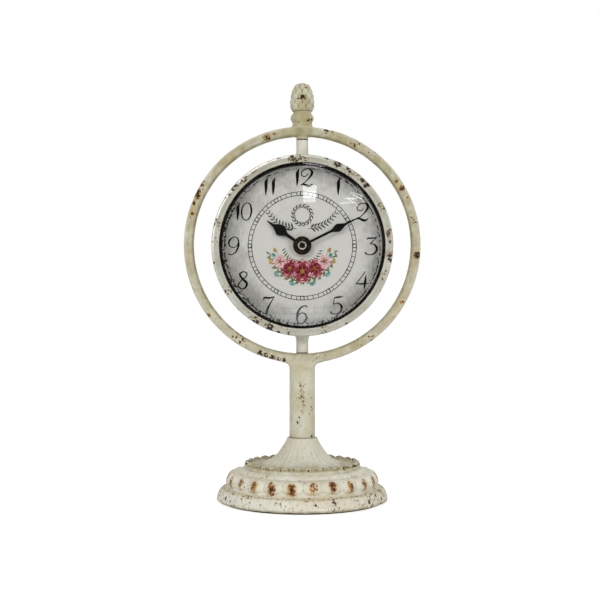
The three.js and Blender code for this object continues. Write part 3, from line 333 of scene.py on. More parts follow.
class Recipe:
    """A material's node tree while it is written."""

    def __init__(self, name: str) -> None:
        """Starts a material with one Principled shader.

        Args:
            name: The material's name.
        """
        self.material = bpy.data.materials.new(name)
        self.material.use_nodes = True
        self.nodes = self.material.node_tree.nodes
        self.links = self.material.node_tree.links
        self.surface = self.nodes["Principled BSDF"]
        self.place = self.nodes.new("ShaderNodeTexCoord").outputs["Object"]

    def put(self, value: object, socket: bpy.types.NodeSocket) -> None:
        """Links a socket to an input, or sets the input to a plain value."""
        if isinstance(value, bpy.types.NodeSocket):
            self.links.new(value, socket)
        elif value is not None:
            socket.default_value = value

    def centred(self, at: Place) -> bpy.types.NodeSocket:
        """Object coordinates counted from a point."""
        node = self.nodes.new("ShaderNodeMapping")
        node.inputs["Location"].default_value = [-value for value in at]
        self.put(self.place, node.inputs["Vector"])
        return node.outputs["Vector"]

    def stretched(self, scale: Place) -> bpy.types.NodeSocket:
        """Object coordinates with a scale of their own along each axis."""
        node = self.nodes.new("ShaderNodeMapping")
        node.inputs["Scale"].default_value = scale
        self.put(self.place, node.inputs["Vector"])
        return node.outputs["Vector"]

    def noise(
        self, size: float, detail: float = 3, vector: object = None, warp: float = 0
    ) -> bpy.types.NodeSocket:
        """Cloudy noise whose patches have about the given size in metres."""
        node = self.nodes.new("ShaderNodeTexNoise")
        self.put(self.place if vector is None else vector, node.inputs["Vector"])
        node.inputs["Scale"].default_value = 1 / size
        node.inputs["Detail"].default_value = detail
        node.inputs["Distortion"].default_value = warp
        return node.outputs["Fac"]

    def sums(self, kind: str, a: object, b: object = None, c: object = None) -> bpy.types.NodeSocket:
        """A Math node, such as ADD, MULTIPLY or MULTIPLY_ADD."""
        node = self.nodes.new("ShaderNodeMath")
        node.operation = kind
        for value, socket in zip((a, b, c), node.inputs):
            self.put(value, socket)
        return node.outputs[0]

    def band(self, value: object, low: float, high: float) -> bpy.types.NodeSocket:
        """0 below low, 1 above high and a smooth step between them."""
        node = self.nodes.new("ShaderNodeMapRange")
        node.interpolation_type = "SMOOTHSTEP"
        for item, socket in zip((value, low, high, 0.0, 1.0), node.inputs):
            self.put(item, socket)
        return node.outputs[0]

    def mix(self, share: object, a: object, b: object) -> bpy.types.NodeSocket:
        """Colour a turning into colour b as the share grows."""
        node = self.nodes.new("ShaderNodeMix")
        node.data_type = "RGBA"
        for value, index in ((share, 0), (a, 6), (b, 7)):
            self.put(value, node.inputs[index])
        return node.outputs[2]

    def stored(self, name: str) -> bpy.types.NodeSocket:
        """A share that was stored on the piece's vertices."""
        node = self.nodes.new("ShaderNodeAttribute")
        node.attribute_name = name
        return node.outputs["Fac"]

    def ring(self, vector: object) -> bpy.types.NodeSocket:
        """Distance from the axis that runs from front to back, in metres."""
        parts = self.nodes.new("ShaderNodeSeparateXYZ")
        self.put(vector, parts.inputs[0])
        across = self.sums("MULTIPLY", parts.outputs["X"], parts.outputs["X"])
        return self.sums("SQRT", self.sums("MULTIPLY_ADD", parts.outputs["Z"], parts.outputs["Z"], across))

    def raised(self, height: object, depth: float, strength: float = 1.0) -> None:
        """Lets a height from 0 to 1 disturb the surface by a depth in metres."""
        node = self.nodes.new("ShaderNodeBump")
        node.inputs["Distance"].default_value = depth
        node.inputs["Strength"].default_value = strength
        self.put(height, node.inputs["Height"])
        self.links.new(node.outputs[0], self.surface.inputs["Normal"])

    def done(self, colour: object, roughness: object, metallic: float = 0.0) -> bpy.types.Material:
        """Sets what every finish has and gives the material."""
        self.put(colour, self.surface.inputs["Base Color"])
        self.put(roughness, self.surface.inputs["Roughness"])
        self.put(metallic, self.surface.inputs["Metallic"])
        return self.material


class Finish:
    """A surface finish, which makes its material once."""

    made: dict[str, bpy.types.Material] = {}
    name: str

    def material(self) -> bpy.types.Material:
        """The material, written on first use."""
        if self.name not in Finish.made:
            Finish.made[self.name] = self.write(Recipe(self.name))
        return Finish.made[self.name]

    def write(self, recipe: Recipe) -> bpy.types.Material:
        """Writes the node tree of this finish."""
        raise NotImplementedError


@dataclass(frozen=True)
class OldPaint(Finish):
    """Old matt paint on iron: drifting tone, grime and painted shade in hollows and along some edges, a
    tint that is yellowed paint on most pieces and painted light on a few, dark flecks and rust that breaks
    through.
    """

    name: str
    light: str = "c7c5b3"
    warm: str = "bab298"
    dirt: str = "8e8661"
    fleck: str = "282016"
    stain: str = "ab9160"
    halo: str = "cbb07c"
    rust: str = "a8803c"
    bare: str = "553018"
    core: str = "1a0f08"
    tint: str = "aea684"
    flecks: float = 0.0
    roughness: float = 0.58

    def write(self, recipe: Recipe) -> bpy.types.Material:
        """Layers the paint from its tone up to the rust."""
        r = recipe
        drift = r.band(r.noise(20 * MM, 4), 0.32, 0.68)
        tone = r.mix(drift, shade(self.light), shade(self.warm))
        # Tint: yellowed paint on most pieces; on the bezel it is a painted highlight and on the finial's
        # seat painted shade.
        tint_and_light_share = r.sums("MULTIPLY", r.stored("tint"), r.sums("MULTIPLY_ADD", r.noise(6 * MM, 4), 1.3, 0.2))
        tone = r.mix(r.band(tint_and_light_share, 0.05, 0.95), tone, shade(self.tint))
        brush = r.noise(1.6 * MM, 4, r.stretched((1, 1, 0.35)))
        tone = r.mix(r.sums("MULTIPLY", r.band(brush, 0.52, 0.75), 0.35), tone, shade(self.dirt))
        cloud = r.noise(5 * MM, 4)
        # Grime and painted shade: the stored share darkens creases, hollows and some edges towards the dirt
        # colour, partly as grime and partly as shade painted where less light falls.
        grime = r.sums("MULTIPLY", r.stored("grime"), r.sums("MULTIPLY_ADD", cloud, 1.6, 0.15))
        tone = r.mix(r.band(grime, 0.1, 1.15), tone, shade(self.dirt))
        speck = r.noise(1.7 * MM, 3)
        gather = r.sums("MULTIPLY", r.band(r.noise(11 * MM, 2), 0.48, 0.7), 0.09)
        pull = r.sums("MULTIPLY_ADD", r.stored("flecks"), 0.3, self.flecks)
        speck = r.sums("ADD", r.sums("ADD", speck, gather), pull)
        chips = r.band(speck, 0.77, 0.80)
        tone = r.mix(r.sums("MULTIPLY", r.band(speck, 0.64, 0.78), 0.55), tone, shade(self.stain))
        tone = r.mix(chips, tone, shade(self.fleck))
        near = r.band(r.stored("rust"), 0.01, 0.2)
        ragged = r.sums("MULTIPLY_ADD", r.noise(1.6 * MM, 4, warp=0.4), 2.4, -1.2)
        wear = r.sums("MULTIPLY", r.sums("ADD", r.stored("rust"), ragged), near)
        tone = r.mix(r.sums("MULTIPLY", r.band(wear, 0.04, 0.3), 0.6), tone, shade(self.halo))
        hue = r.mix(r.band(r.noise(7 * MM, 2), 0.45, 0.57), shade(self.rust), shade(self.bare))
        tone = r.mix(r.sums("MULTIPLY", r.band(wear, 0.22, 0.42), 0.8), tone, hue)
        pitted = r.sums("MULTIPLY_ADD", r.noise(0.8 * MM, 3), 3.2, r.sums("ADD", wear, -1.6))
        deep = r.band(wear, 0.46, 0.62)
        tone = r.mix(r.sums("MULTIPLY", r.band(pitted, 0.42, 0.66), deep), tone, shade(self.bare))
        bared = r.sums("MULTIPLY", r.band(pitted, 0.78, 0.98), deep)
        tone = r.mix(bared, tone, shade(self.core))
        lost = r.sums("MAXIMUM", chips, bared)
        grain = r.sums("MULTIPLY_ADD", r.noise(0.7 * MM, 3), 0.5, r.sums("MULTIPLY", cloud, 0.5))
        r.raised(r.sums("SUBTRACT", grain, lost), 0.22 * MM, 0.55)
        return r.done(tone, r.sums("MULTIPLY_ADD", lost, 0.2, self.roughness))


@dataclass(frozen=True)
class Plain(Finish):
    """A moulded, plated or woven surface with a fine grain and a slight drift of its colour."""

    name: str
    colour: str
    second: str
    roughness: float
    metallic: float = 0.0
    grain: float = 0.6 * MM
    relief: float = 0.03 * MM
    stretch: Place = (1, 1, 1)
    gloss: float = 0.5

    def write(self, recipe: Recipe) -> bpy.types.Material:
        """Mixes the two colours by a soft drift and a fine grain."""
        r = recipe
        r.surface.inputs["Specular IOR Level"].default_value = self.gloss
        fine = r.noise(self.grain, 3, r.stretched(self.stretch))
        drift = r.sums("MULTIPLY_ADD", r.noise(9 * MM, 2), 0.6, r.sums("MULTIPLY", fine, 0.4))
        r.raised(fine, self.relief, 0.6)
        worn = r.sums("MULTIPLY_ADD", fine, 0.16, self.roughness - 0.08)
        tone = r.mix(r.band(drift, 0.35, 0.65), shade(self.colour), shade(self.second))
        return r.done(tone, worn, self.metallic)


@dataclass(frozen=True)
class DialPaper(Finish):
    """Printed dial, pale in the middle and darker towards its edge, where worn print and a painted shadow
    of the bezel lie together, with a lighter painted ring just inside the edge.
    """

    name: str
    centre: Place
    radius: float
    pale: str = "d7d6d0"
    rim: str = "98978f"
    stain: str = "4b4a43"
    blot: str = "b4b3ab"
    edge: str = "e6e5df"
    fleck: str = "24231e"
    off_centre: float = 1.6 * MM

    def write(self, recipe: Recipe) -> bpy.types.Material:
        """Darkens the print with its distance from the middle."""
        r = recipe
        x, y, z = self.centre
        # Painted shade: the darkening towards the edge is partly worn print and partly the bezel's shadow
        # painted in, centred a little off the middle.
        worn = r.centred((x + self.off_centre, y, z + self.off_centre))
        reach = r.sums("DIVIDE", r.ring(worn), self.radius)
        cloud = r.noise(14 * MM, 5, warp=0.6)
        streak = r.noise(1.6 * MM, 4, r.stretched((1, 1, 0.45)))
        ragged = r.sums("MULTIPLY_ADD", cloud, 0.4, r.sums("MULTIPLY_ADD", streak, 0.28, reach))
        tone = r.mix(r.band(ragged, 0.97, 1.33), shade(self.pale), shade(self.rim))
        tone = r.mix(r.sums("MULTIPLY", r.band(ragged, 1.28, 1.42), 0.4), tone, shade(self.stain))
        tone = r.mix(r.sums("MULTIPLY", r.band(cloud, 0.55, 0.72), 0.25), tone, shade(self.blot))
        # Painted light: a lighter ring just inside the edge, where the bezel's shadow falls, keeps the
        # black line beside it crisp.
        out = r.sums("DIVIDE", r.ring(r.centred(self.centre)), self.radius)
        within = r.sums("SUBTRACT", 1.0, r.band(out, 0.94, 0.955))
        edge = r.sums("MULTIPLY", r.band(out, 0.895, 0.91), within)
        tone = r.mix(r.sums("MULTIPLY", edge, 0.45), tone, shade(self.edge))
        outer = r.band(reach, 0.86, 0.96)
        speck = r.sums("MULTIPLY_ADD", outer, 0.26, r.noise(1.5 * MM, 3))
        tone = r.mix(r.band(speck, 0.75, 0.8), tone, shade(self.fleck))
        r.raised(r.noise(0.5 * MM, 2), 0.01 * MM, 0.4)
        return r.done(tone, 0.55)


@dataclass(frozen=True)
class Ink(Finish):
    """Printing ink with washed patches of a second tone."""

    name: str
    colour: str
    wash: str

    def write(self, recipe: Recipe) -> bpy.types.Material:
        """Washes one tone into the other."""
        r = recipe
        r.surface.inputs["Specular IOR Level"].default_value = 0.1
        wash = r.band(r.noise(1.7 * MM, 4, warp=0.8), 0.38, 0.62)
        return r.done(r.mix(wash, shade(self.colour), shade(self.wash)), 0.5)


@dataclass(frozen=True)
class ClearGlass(Finish):
    """Thin clear glass: it lets light straight through and mirrors a little of the room."""

    name: str
    clear: str = "fdfdfd"
    mirrored: float = 0.07
    glancing: float = 0.6

    def write(self, recipe: Recipe) -> bpy.types.Material:
        """Mixes a clear shader with a mirror by the glancing angle."""
        r = recipe
        clear = r.nodes.new("ShaderNodeBsdfTransparent")
        clear.inputs[0].default_value = shade(self.clear)
        mirror = r.nodes.new("ShaderNodeBsdfGlossy")
        smear = r.band(r.noise(12 * MM, 3), 0.3, 0.9)
        r.put(r.sums("MULTIPLY_ADD", smear, 0.012, 0.008), mirror.inputs["Roughness"])
        glance = r.nodes.new("ShaderNodeLayerWeight")
        steep = r.sums("POWER", glance.outputs["Facing"], 4.0)
        blend = r.nodes.new("ShaderNodeMixShader")
        r.put(r.sums("MULTIPLY_ADD", steep, self.glancing, self.mirrored), blend.inputs[0])
        r.put(clear.outputs[0], blend.inputs[1])
        r.put(mirror.outputs[0], blend.inputs[2])
        r.links.new(blend.outputs[0], r.nodes["Material Output"].inputs["Surface"])
        return r.material


STAND_PAINT = OldPaint("stand_paint")
FINIAL_PAINT = OldPaint(
    "finial_paint", light="c3c4af", warm="b3ae92", dirt="7d7350", halo="cbab86", rust="8f6c34",
    bare="2b1c0e", core="120c06", tint="9c9066")
BASE_PAINT = OldPaint(
    "base_paint", light="d8d7cb", warm="cdc7b4", bare="6e3216", rust="a8772f", tint="b9a76c", flecks=0.034)
FLARE_PAINT = OldPaint("flare_paint", light="cbcabb", warm="c3bea9", flecks=0.014)
CASE_PAINT = OldPaint("case_paint", light="d0cfc4", warm="bfbcac", flecks=0.02)
# The bezel's near-white tint is the colour of the painted highlight along its bead.
BEZEL_PAINT = OldPaint(
    "bezel_paint", light="b8b9ae", warm="a5a495", dirt="82806a", halo="bfa790", rust="866c50",
    bare="36211a", core="100b08", tint="f2f1ea", flecks=0.046, roughness=0.36)
FELT = Plain("felt", "24211d", "161412", 0.95, grain=0.35 * MM, relief=0.2 * MM)
STEEL = Plain("steel", "9c9c98", "84847f", 0.38, 1.0, stretch=(1, 1, 0.2))
NYLON = Plain("nylon", "3a3128", "221d18", 0.6)
RUBBER = Plain("rubber", "1b1b1b", "101010", 0.8)
BLACK_PLASTIC = Plain("black_plastic", "21201c", "141310", 0.5)
WHITE_PLASTIC = Plain("white_plastic", "ebe8de", "dedace", 0.4)
HAND_BLACK = Plain("hand_black", "0b0a0a", "131110", 0.5, 0.0, stretch=(1, 1, 0.3), gloss=0.25)
BRASS = Plain("brass", "8a7340", "5d4b27", 0.3, 1.0)
BRONZE = Plain("dark_bronze", "85775a", "4c412b", 0.12, 1.0, relief=0.008 * MM)
NICKEL = Plain("nickel", "e6e2d8", "cfcabb", 0.1, 1.0, relief=0.01 * MM)
COPPER = Plain(
    "copper_wire", "a8562a", "7c3a18", 0.35, 0.9, grain=0.2 * MM, relief=0.15 * MM, stretch=(0.05, 0.05, 1))
BOARD = Plain("circuit_board", "2b5a34", "1f4427", 0.5)
JACKET = Plain("battery_jacket", "3d4046", "2c2e33", 0.34, 0.6, stretch=(0.2, 1, 1))
JACKET_END = Plain("battery_band", "b4813c", "9a6a2c", 0.32, 0.8, stretch=(0.2, 1, 1))
MAGNET = Plain("magnet", "4d4d50", "3a3a3d", 0.45, 0.7)


# Marks of age, and painted light and shade


@dataclass(frozen=True)
class Spot:
    """A worn spot on a surface."""

    at: Place
    reach: float
    strength: float = 1.0
    tall: float = 1.0


def on_disc(degrees: float, radius: float, depth: float, height: float) -> Place:
    """A place on a round front, counted clockwise from its top.

    Args:
        degrees: The turn from the top.
        radius: Distance from the front's centre, in millimetres.
        depth: Depth of the front, in millimetres.
        height: Height of the front's centre, in metres.

    Returns:
        The place, in metres.
    """
    turn = math.radians(degrees)
    return (radius * MM * math.sin(turn), depth * MM, height + radius * MM * math.cos(turn))


def on_shaft(turn: float, radius: float, lift: float) -> Place:
    """A place round the upright axis.

    Args:
        turn: The turn from the front towards the right, in radians.
        radius: Distance from the axis, in millimetres.
        lift: Height, in millimetres.

    Returns:
        The place, in metres.
    """
    return (radius * MM * math.sin(turn), -radius * MM * math.cos(turn), lift * MM)


def disc_spots(rows: Rows, depth: float, height: float) -> list[Spot]:
    """Spots on a round front, from rows of degrees, radius, reach, strength and stretch in millimetres."""
    return [
        Spot(on_disc(turn, radius, depth, height), reach * MM, *rest)
        for turn, radius, reach, *rest in rows]


def spots_at(rows: Rows, height: float = 0.0) -> list[Spot]:
    """Spots over a height in metres, from rows of x, y, z, reach, strength and stretch in millimetres."""
    return [
        Spot((x * MM, y * MM, height + z * MM), reach * MM, *rest)
        for x, y, z, reach, *rest in rows]


def spots_weight(spots: Sequence[Spot]) -> Weight:
    """The weight of several spots, each falling off to nothing at its reach."""

    def weight(points: np.ndarray) -> np.ndarray:
        """Takes places and gives the strongest spot's share for each."""
        found = np.zeros(len(points))
        for spot in spots:
            away = (points - np.array(spot.at)) / np.array([1, 1, spot.tall])
            near = 1 - np.linalg.norm(away, axis=1) / spot.reach
            found = np.maximum(found, np.clip(near * 1.6, 0, 1) * spot.strength)
        return found

    return weight


def even(share: float) -> Weight:
    """The weight that is the same everywhere."""
    return lambda points: np.full(len(points), share)


def aged(
    piece: bpy.types.Object, grime: Weight = even(0), flecks: Weight = even(0), rust: Weight = even(0),
    tint: Weight = even(0),
) -> None:
    """Stores the four shares that the old paint reads: grime with painted shade, flecks, rust, and a tint
    that is painted light on some pieces.
    """
    for name, weight in (("grime", grime), ("flecks", flecks), ("rust", rust), ("tint", tint)):
        painted(piece, name, weight)


def from_axis(points: np.ndarray) -> np.ndarray:
    """Distance of each point from the upright axis, in metres."""
    return np.hypot(points[:, 0], points[:, 1])


def crest(points: np.ndarray, lobes: int) -> np.ndarray:
    """1 in the middle of each of the lobes round the upright axis and 0 in the valleys between them."""
    turn = np.arctan2(points[:, 0], -points[:, 1]) / TURN * lobes
    return 1 - (2 * (turn - np.floor(turn)) - 1) ** 2


def step_up(values: np.ndarray, low: float, high: float) -> np.ndarray:
    """0 below low, 1 above high and a straight rise between them, for values in metres and limits in mm."""
    return np.clip((values - low * MM) / (high * MM - low * MM), 0, 1)


def between(values: np.ndarray, low: float, high: float) -> np.ndarray:
    """An arch from 0 at low over 1 in the middle to 0 at high, for values in metres and limits in mm."""
    rise = step_up(values, low, high)
    return 4 * rise * (1 - rise)


def dress_node(node: str, finish: Finish) -> None:
    """Gives a CAD node that stays in sight or inside its finish."""
    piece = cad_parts[node]
    piece.data.materials.clear()
    piece.data.materials.append(finish.material())
    log.info("%s keeps its shape", node)


# The stand


SCALLOPS = 28
LOBE_STEPS = 14
STAND_BORE = 3.3
STAND_BODY = "stand"


@dataclass
class Foot:
    """The round foot on its felt pad: a bottom tier, a gadrooned band and a ledge for the flare.

    Sizes are in millimetres. Profiles run as (radius, height).
    """

    pad_rounding: float = 0.3
    pad_steps: int = 160
    outside: Rows = (
        (42.4, 23.6), (43.4, 22.7), (44.6, 21.7), (45.8, 21.0), (47.4, 20.6), (49.1, 20.1), (50.5, 19.4),
        (51.5, 18.2), (52.3, 16.4), (52.8, 14.6), (53.1, 12.9), (53.6, 11.5), (54.5, 10.4), (55.9, 9.9),
        (57.1, 9.7), (58.7, 8.7), (60.1, 6.7), (60.9, 4.2), (61.3, 2.4), (61.2, 1.5))
    hollow: Rows = ((60.9, 1.3), (55.2, 1.3), (43.7, 15.3), (STAND_BORE, 15.3), (STAND_BORE, 23.6))
    gadroons: int = 24
    gadroon_bulge: float = 2.1
    gadroon_middle: float = 16.2
    gadroon_half: float = 4.4
    gadroons_from: float = 48.5
    ruffle_bulge: float = 0.9
    skin: Pair = (0.5, 9.0)
    rust_radius: float = 53.6
    rust_height: float = 17.2
    front_rust: Rows = (
        (0, 0.56), (1, 0.92), (2, 0.74), (3, 0.62), (4, 0.62), (-1, 1.0), (-2, 0.86), (-3, 0.7),
        (-4, 0.56), (-5, 0.7))
    dabs: Rows = ((0.95, 3.5), (0.85, 2.6), (0.8, 2.0), (0.85, 1.5), (0.8, 1.3))
    chip_radius: float = 60.0
    chips: Rows = (
        (-62, 5.7, 2.6), (-17, 7.9, 1.8), (21, 8.0, 2.2), (37, 8.3, 2.4), (59, 8.2, 2.2), (43, 1.9, 2.2),
        (27, 2.2, 1.8), (-1, 2.2, 2.4), (-40, 2.2, 1.8), (-28, 6, 1.4), (8, 6.5, 1.4), (50, 5.5, 2.6),
        (66, 4.6, 2.4), (-55, 2.2, 1.8), (140, 5, 2.6), (170, 7, 2.4), (-150, 6, 2.8), (-120, 3, 2.4),
        (100, 4, 2.6))

    def build(self) -> None:
        """Builds the pad and the foot."""
        self.pad()
        self.foot()

    def pad(self) -> None:
        """The felt pad under the foot."""
        low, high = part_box("base_pad")
        radius = high.x
        profile = [(0, low.z), (radius, low.z), (radius, high.z), (0, high.z)]
        piece = turned("base_pad_felt", profile, Axis.UPRIGHT, self.pad_steps)
        softened(piece, self.pad_rounding * MM)
        settled(piece, STAND_BODY, ["base_pad"], FELT)

    def foot(self) -> None:
        """The iron foot, spun, swelled into gadroons and lumps, and rusted."""
        profile = in_mm([(STAND_BORE, 23.6), *flowing(self.outside, 4), *self.hollow])
        piece = turned("iron_foot", profile, Axis.UPRIGHT, self.gadroons * LOBE_STEPS)
        swelled(piece, self.on_gadroons, self.gadroon_bulge * MM)
        swelled(piece, self.on_ruffle, self.ruffle_bulge * MM)
        uneven(piece, *self.skin)
        rust = self.gadroon_spots()
        stained = spots_weight([Spot(spot.at, 1.7 * spot.reach, 0.9 * spot.strength, 1.3) for spot in rust])
        aged(
            piece,
            self.grime,
            self.flecks,
            spots_weight(rust),
            lambda points: np.maximum(stained(points), 0.5 * between(points[:, 2], 8.4, 11.2)),
        )
        settled(piece, STAND_BODY, ["base_foot"], BASE_PAINT, 50)

    def on_gadroons(self, points: np.ndarray) -> np.ndarray:
        """Share of the gadroons' bulge at each point."""
        across = 1 - crest(points, self.gadroons)
        up = np.abs(points[:, 2] / MM - self.gadroon_middle) / self.gadroon_half
        on_band = from_axis(points) > self.gadroons_from * MM
        return on_band * np.sqrt(np.clip(1 - 0.9 * across - up**2.4, 0, 1))

    @staticmethod
    def on_ruffle(points: np.ndarray) -> np.ndarray:
        """Share of the soft lumps that lie under the scallops of the flare."""
        on_ledge = between(from_axis(points), 42.6, 46.4) * (points[:, 2] > 19 * MM)
        return crest(points, SCALLOPS) ** 0.7 * on_ledge

    def gadroon_spots(self) -> list[Spot]:
        """Rust at the crest of every gadroon, strongest in front."""
        front = dict(self.front_rust)
        chance = np.random.default_rng(4)
        spots = []
        for index in range(self.gadroons):
            lobe = index if index < self.gadroons / 2 else index - self.gadroons
            strength = front.get(lobe, 0.45 + 0.5 * chance.random())
            turn = (lobe + 0.5) / self.gadroons * TURN
            for share, size in self.dabs:
                lift = self.rust_height + chance.uniform(-1.0, 1.0) * min(7 / size, 4)
                slip = turn + chance.uniform(-0.03, 0.03) * (0.3 if size > 3 else 1)
                spots.append(Spot(on_shaft(slip, self.rust_radius, lift), size * MM, strength * share, 1.5))
        return spots

    def grime(self, points: np.ndarray) -> np.ndarray:
        """Grime and painted shade along the bottom edge, in the waist, in the groove over the gadroons, on
        the ledge under the rim and faintly between the gadroons.
        """
        height = points[:, 2]
        low = 1 - step_up(height, 1.9, 3.6)
        waist = 0.42 * between(height, 9.6, 12.6)
        ledge = 0.4 * (1 - step_up(from_axis(points), 42.4, 44.5))
        valley = 0.1 * (1 - crest(points, self.gadroons)) * between(height, 11.4, 21.6)
        groove = 0.42 * between(height, 20.0, 21.6)
        return np.maximum.reduce([low, waist, ledge, groove, valley])

    def flecks(self, points: np.ndarray) -> np.ndarray:
        """Flecks on the bottom tier, thickest at the right, and single chips."""
        tier = 1 - step_up(points[:, 2], 9.5, 12)
        side = points[:, 0] / (61 * MM)
        spread = tier * (0.12 + 0.3 * np.clip(side, 0, 1) ** 2 + 0.16 * np.clip(-side, 0, 1) ** 2)
        chips = [
            Spot(on_shaft(math.radians(degrees), self.chip_radius, lift), reach * MM)
            for degrees, lift, reach in self.chips]
        edge = 0.42 * between(points[:, 2], 8.6, 10.8)
        return np.maximum.reduce([spread + 0.05, edge, spots_weight(chips)(points)])


@dataclass
class Flare:
    """The scalloped dish with the fluted cone that carries the column.

    Sizes are in millimetres. The profile runs as (radius, height).
    """

    top: float = 45.2
    bottom: float = 23.6
    outside: Rows = (
        (10.6, 45.2), (11.5, 43.4), (12.7, 40.7), (15.7, 35.4), (19.3, 31.1), (23.4, 28.3), (28.4, 26.4),
        (33.4, 25.8), (36.2, 25.9), (37.7, 26.3), (38.6, 26.7), (39.4, 26.5), (39.9, 25.7), (40.2, 24.7),
        (40.4, 23.6))
    scallop_bulge: float = 2.1
    flute_bulge: float = 0.6
    skin: Pair = (0.4, 8.0)
    rim_from: float = 38.0

    def build(self) -> None:
        """Spins the flare and swells its scallops and flutes."""
        edge = (STAND_BORE, self.top)
        profile = in_mm([edge, *flowing(self.outside, 4), (STAND_BORE, self.bottom), edge])
        piece = turned("fluted_flare", profile, Axis.UPRIGHT, SCALLOPS * LOBE_STEPS)
        swelled(piece, self.on_rim, self.scallop_bulge * MM)
        swelled(piece, self.on_flutes, self.flute_bulge * MM)
        uneven(piece, *self.skin)
        aged(piece, self.grime, self.flecks, tint=self.yellowed)
        settled(piece, STAND_BODY, ["base_flare"], FLARE_PAINT, 60)

    @staticmethod
    def on_rim(points: np.ndarray) -> np.ndarray:
        """Share of the scallops' swell at each point."""
        fall = 0.4 + 0.6 * step_up(points[:, 2], 23.8, 26.2)
        return step_up(from_axis(points), 37.6, 39.5) * fall * crest(points, SCALLOPS) ** 0.9

    @staticmethod
    def on_flutes(points: np.ndarray) -> np.ndarray:
        """Share of the flutes' swell at each point, none near the neck and in the dish."""
        radius = from_axis(points)
        fan = step_up(radius, 11.5, 16) * (1 - step_up(radius, 26, 36))
        return (points[:, 2] > 25 * MM) * fan * crest(points, SCALLOPS)

    def grime(self, points: np.ndarray) -> np.ndarray:
        """Grime in the dish, along the skirt and at the neck's joint, painted shade under the rim and
        between the scallops, and darkening in the valleys of the flutes.
        """
        radius, height = from_axis(points), points[:, 2]
        on_rim = radius > self.rim_from * MM
        valley = 1 - crest(points, SCALLOPS)
        dish = 0.8 * step_up(radius, 21, 30) * (1 - step_up(radius, 38.6, 40.4))
        valleys = 0.42 * valley * step_up(radius, 13, 18)
        skirt = 0.95 * on_rim * between(height, 25.5, 27.9)
        gaps = 0.16 * on_rim * valley
        under = 0.3 * (1 - step_up(height, 23.7, 24.2))
        joint = 0.5 * step_up(height, 44.3, 45.1)
        return np.maximum.reduce([dish, valleys, skirt, gaps, under, joint, even(0.14)(points)])

    def yellowed(self, points: np.ndarray) -> np.ndarray:
        """Yellowed paint in the dish and along the rim's edge."""
        radius = from_axis(points)
        dish = 0.45 * step_up(radius, 24, 32) * (1 - step_up(radius, 37, 38.5))
        return np.maximum(dish, 0.8 * (radius > self.rim_from * MM) * between(points[:, 2], 24.6, 28.2))

    def flecks(self, points: np.ndarray) -> np.ndarray:
        """Flecks along the rim's edge and at the joint, few on the cone."""
        rim = 0.6 * (from_axis(points) > 37.8 * MM) * step_up(points[:, 2], 25.4, 26.4)
        joint = 0.4 * step_up(points[:, 2], 44, 44.8)
        return np.maximum.reduce([rim, joint, even(0.03)(points)])


@dataclass(frozen=True)
class RingWear:
    """Where the paint of ring and column is worn, with painted shade on the finial's seat.

    Rows on the ring give degrees, radius, reach, strength and stretch. Rows on the column's front give
    across, height and reach, those on its back degrees and height. Loose rows give a place, reach and
    strength. All are in millimetres.
    """

    rust: Rows = (
        (296, 83.6, 3.4, 1.0, 1.6), (291, 83.2, 2.4, 0.9), (301, 84, 2.2, 0.85), (60, 82.4, 3.0, 0.85),
        (56, 81.6, 1.8, 0.8), (95, 82.4, 3.4, 0.92), (233, 84, 2.2, 0.95), (342, 81, 2.8, 0.7),
        (346, 81.6, 1.9, 0.66), (286, 82, 2.4, 0.6), (66, 83, 1.6, 0.7), (120, 82, 2.4, 0.62))
    chips: Rows = (
        (189, 83.6, 3.2, 1.0), (192, 83.6, 3.2, 1.0), (195, 83.6, 3.2, 1.0), (198, 83.6, 3.2, 1.0),
        (201, 83.6, 3.2, 1.0), (12, 83.8, 3, 0.95), (15, 83, 3, 0.6), (28, 83.4, 6, 0.5),
        (38, 82, 8, 0.42), (143, 83.4, 4, 0.85), (150, 82, 6, 0.5), (342, 81, 6, 0.6), (300, 83, 9, 0.5),
        (285, 82, 9, 0.4), (78, 82, 9, 0.38), (215, 82, 10, 0.4), (172, 82, 8, 0.4))
    loose_chips: Rows = (
        (-4.5, -8, 93, 2.4, 0.7), (7.2, -6, 46.5, 2.6, 0.9), (-8.4, -4, 46.4, 2.2, 0.8),
        (0.4, -9.2, 77, 7, 0.34, 2.0))
    yellowed: Rows = (
        (319, 81.6, 11, 1.0), (327, 81.6, 7, 0.7), (352, 81.6, 12, 0.7), (18, 82, 10, 0.75),
        (44, 82, 12, 0.55), (58, 82, 8, 0.7), (288, 82, 9, 0.6), (97, 82, 10, 0.7), (128, 82, 12, 0.5),
        (151, 82, 9, 0.6), (205, 82, 10, 0.4), (248, 82, 12, 0.4))
    # Painted shade on the finial's seat: its upper face catches more light, so its paint is darkened here.
    yellowed_seat: Rows = ((0, -6, 82.5, 14, 0.85),)
    column_front: Rows = (
        (6.8, 73.8, 1.5), (7.0, 65.2, 1.4), (6.6, 67.4, 1.1), (5.4, 62.6, 1.1), (-3.4, 57.8, 1.2),
        (-3.5, 55.8, 1.4), (-0.8, 54.2, 1.0), (-0.6, 75.4, 1.1), (-1.4, 82.8, 1.1), (1.0, 74.4, 1.0),
        (0.3, 69.4, 1.0), (-0.6, 65.2, 1.0), (-2.2, 60.4, 1.0), (0.5, 82.2, 0.9), (-1.0, 78.8, 0.9),
        (0.1, 77.0, 0.8), (0.9, 71.8, 0.8))
    column_back: Rows = ((130, 80), (160, 62), (200, 70), (215, 52), (250, 84), (100, 56))
    streak: Rows = (
        (-1.2, 84.5, 1.8, 1.6), (0.2, 82, 2.0, 1.4), (-0.6, 79.5, 2.2, 1.5), (-0.2, 76, 2.6, 1.4),
        (0.9, 74.5, 2.0, 1.4), (0.2, 71.5, 1.6, 1.8), (0.6, 68, 1.5, 1.8), (0.1, 64.5, 1.4, 1.6))


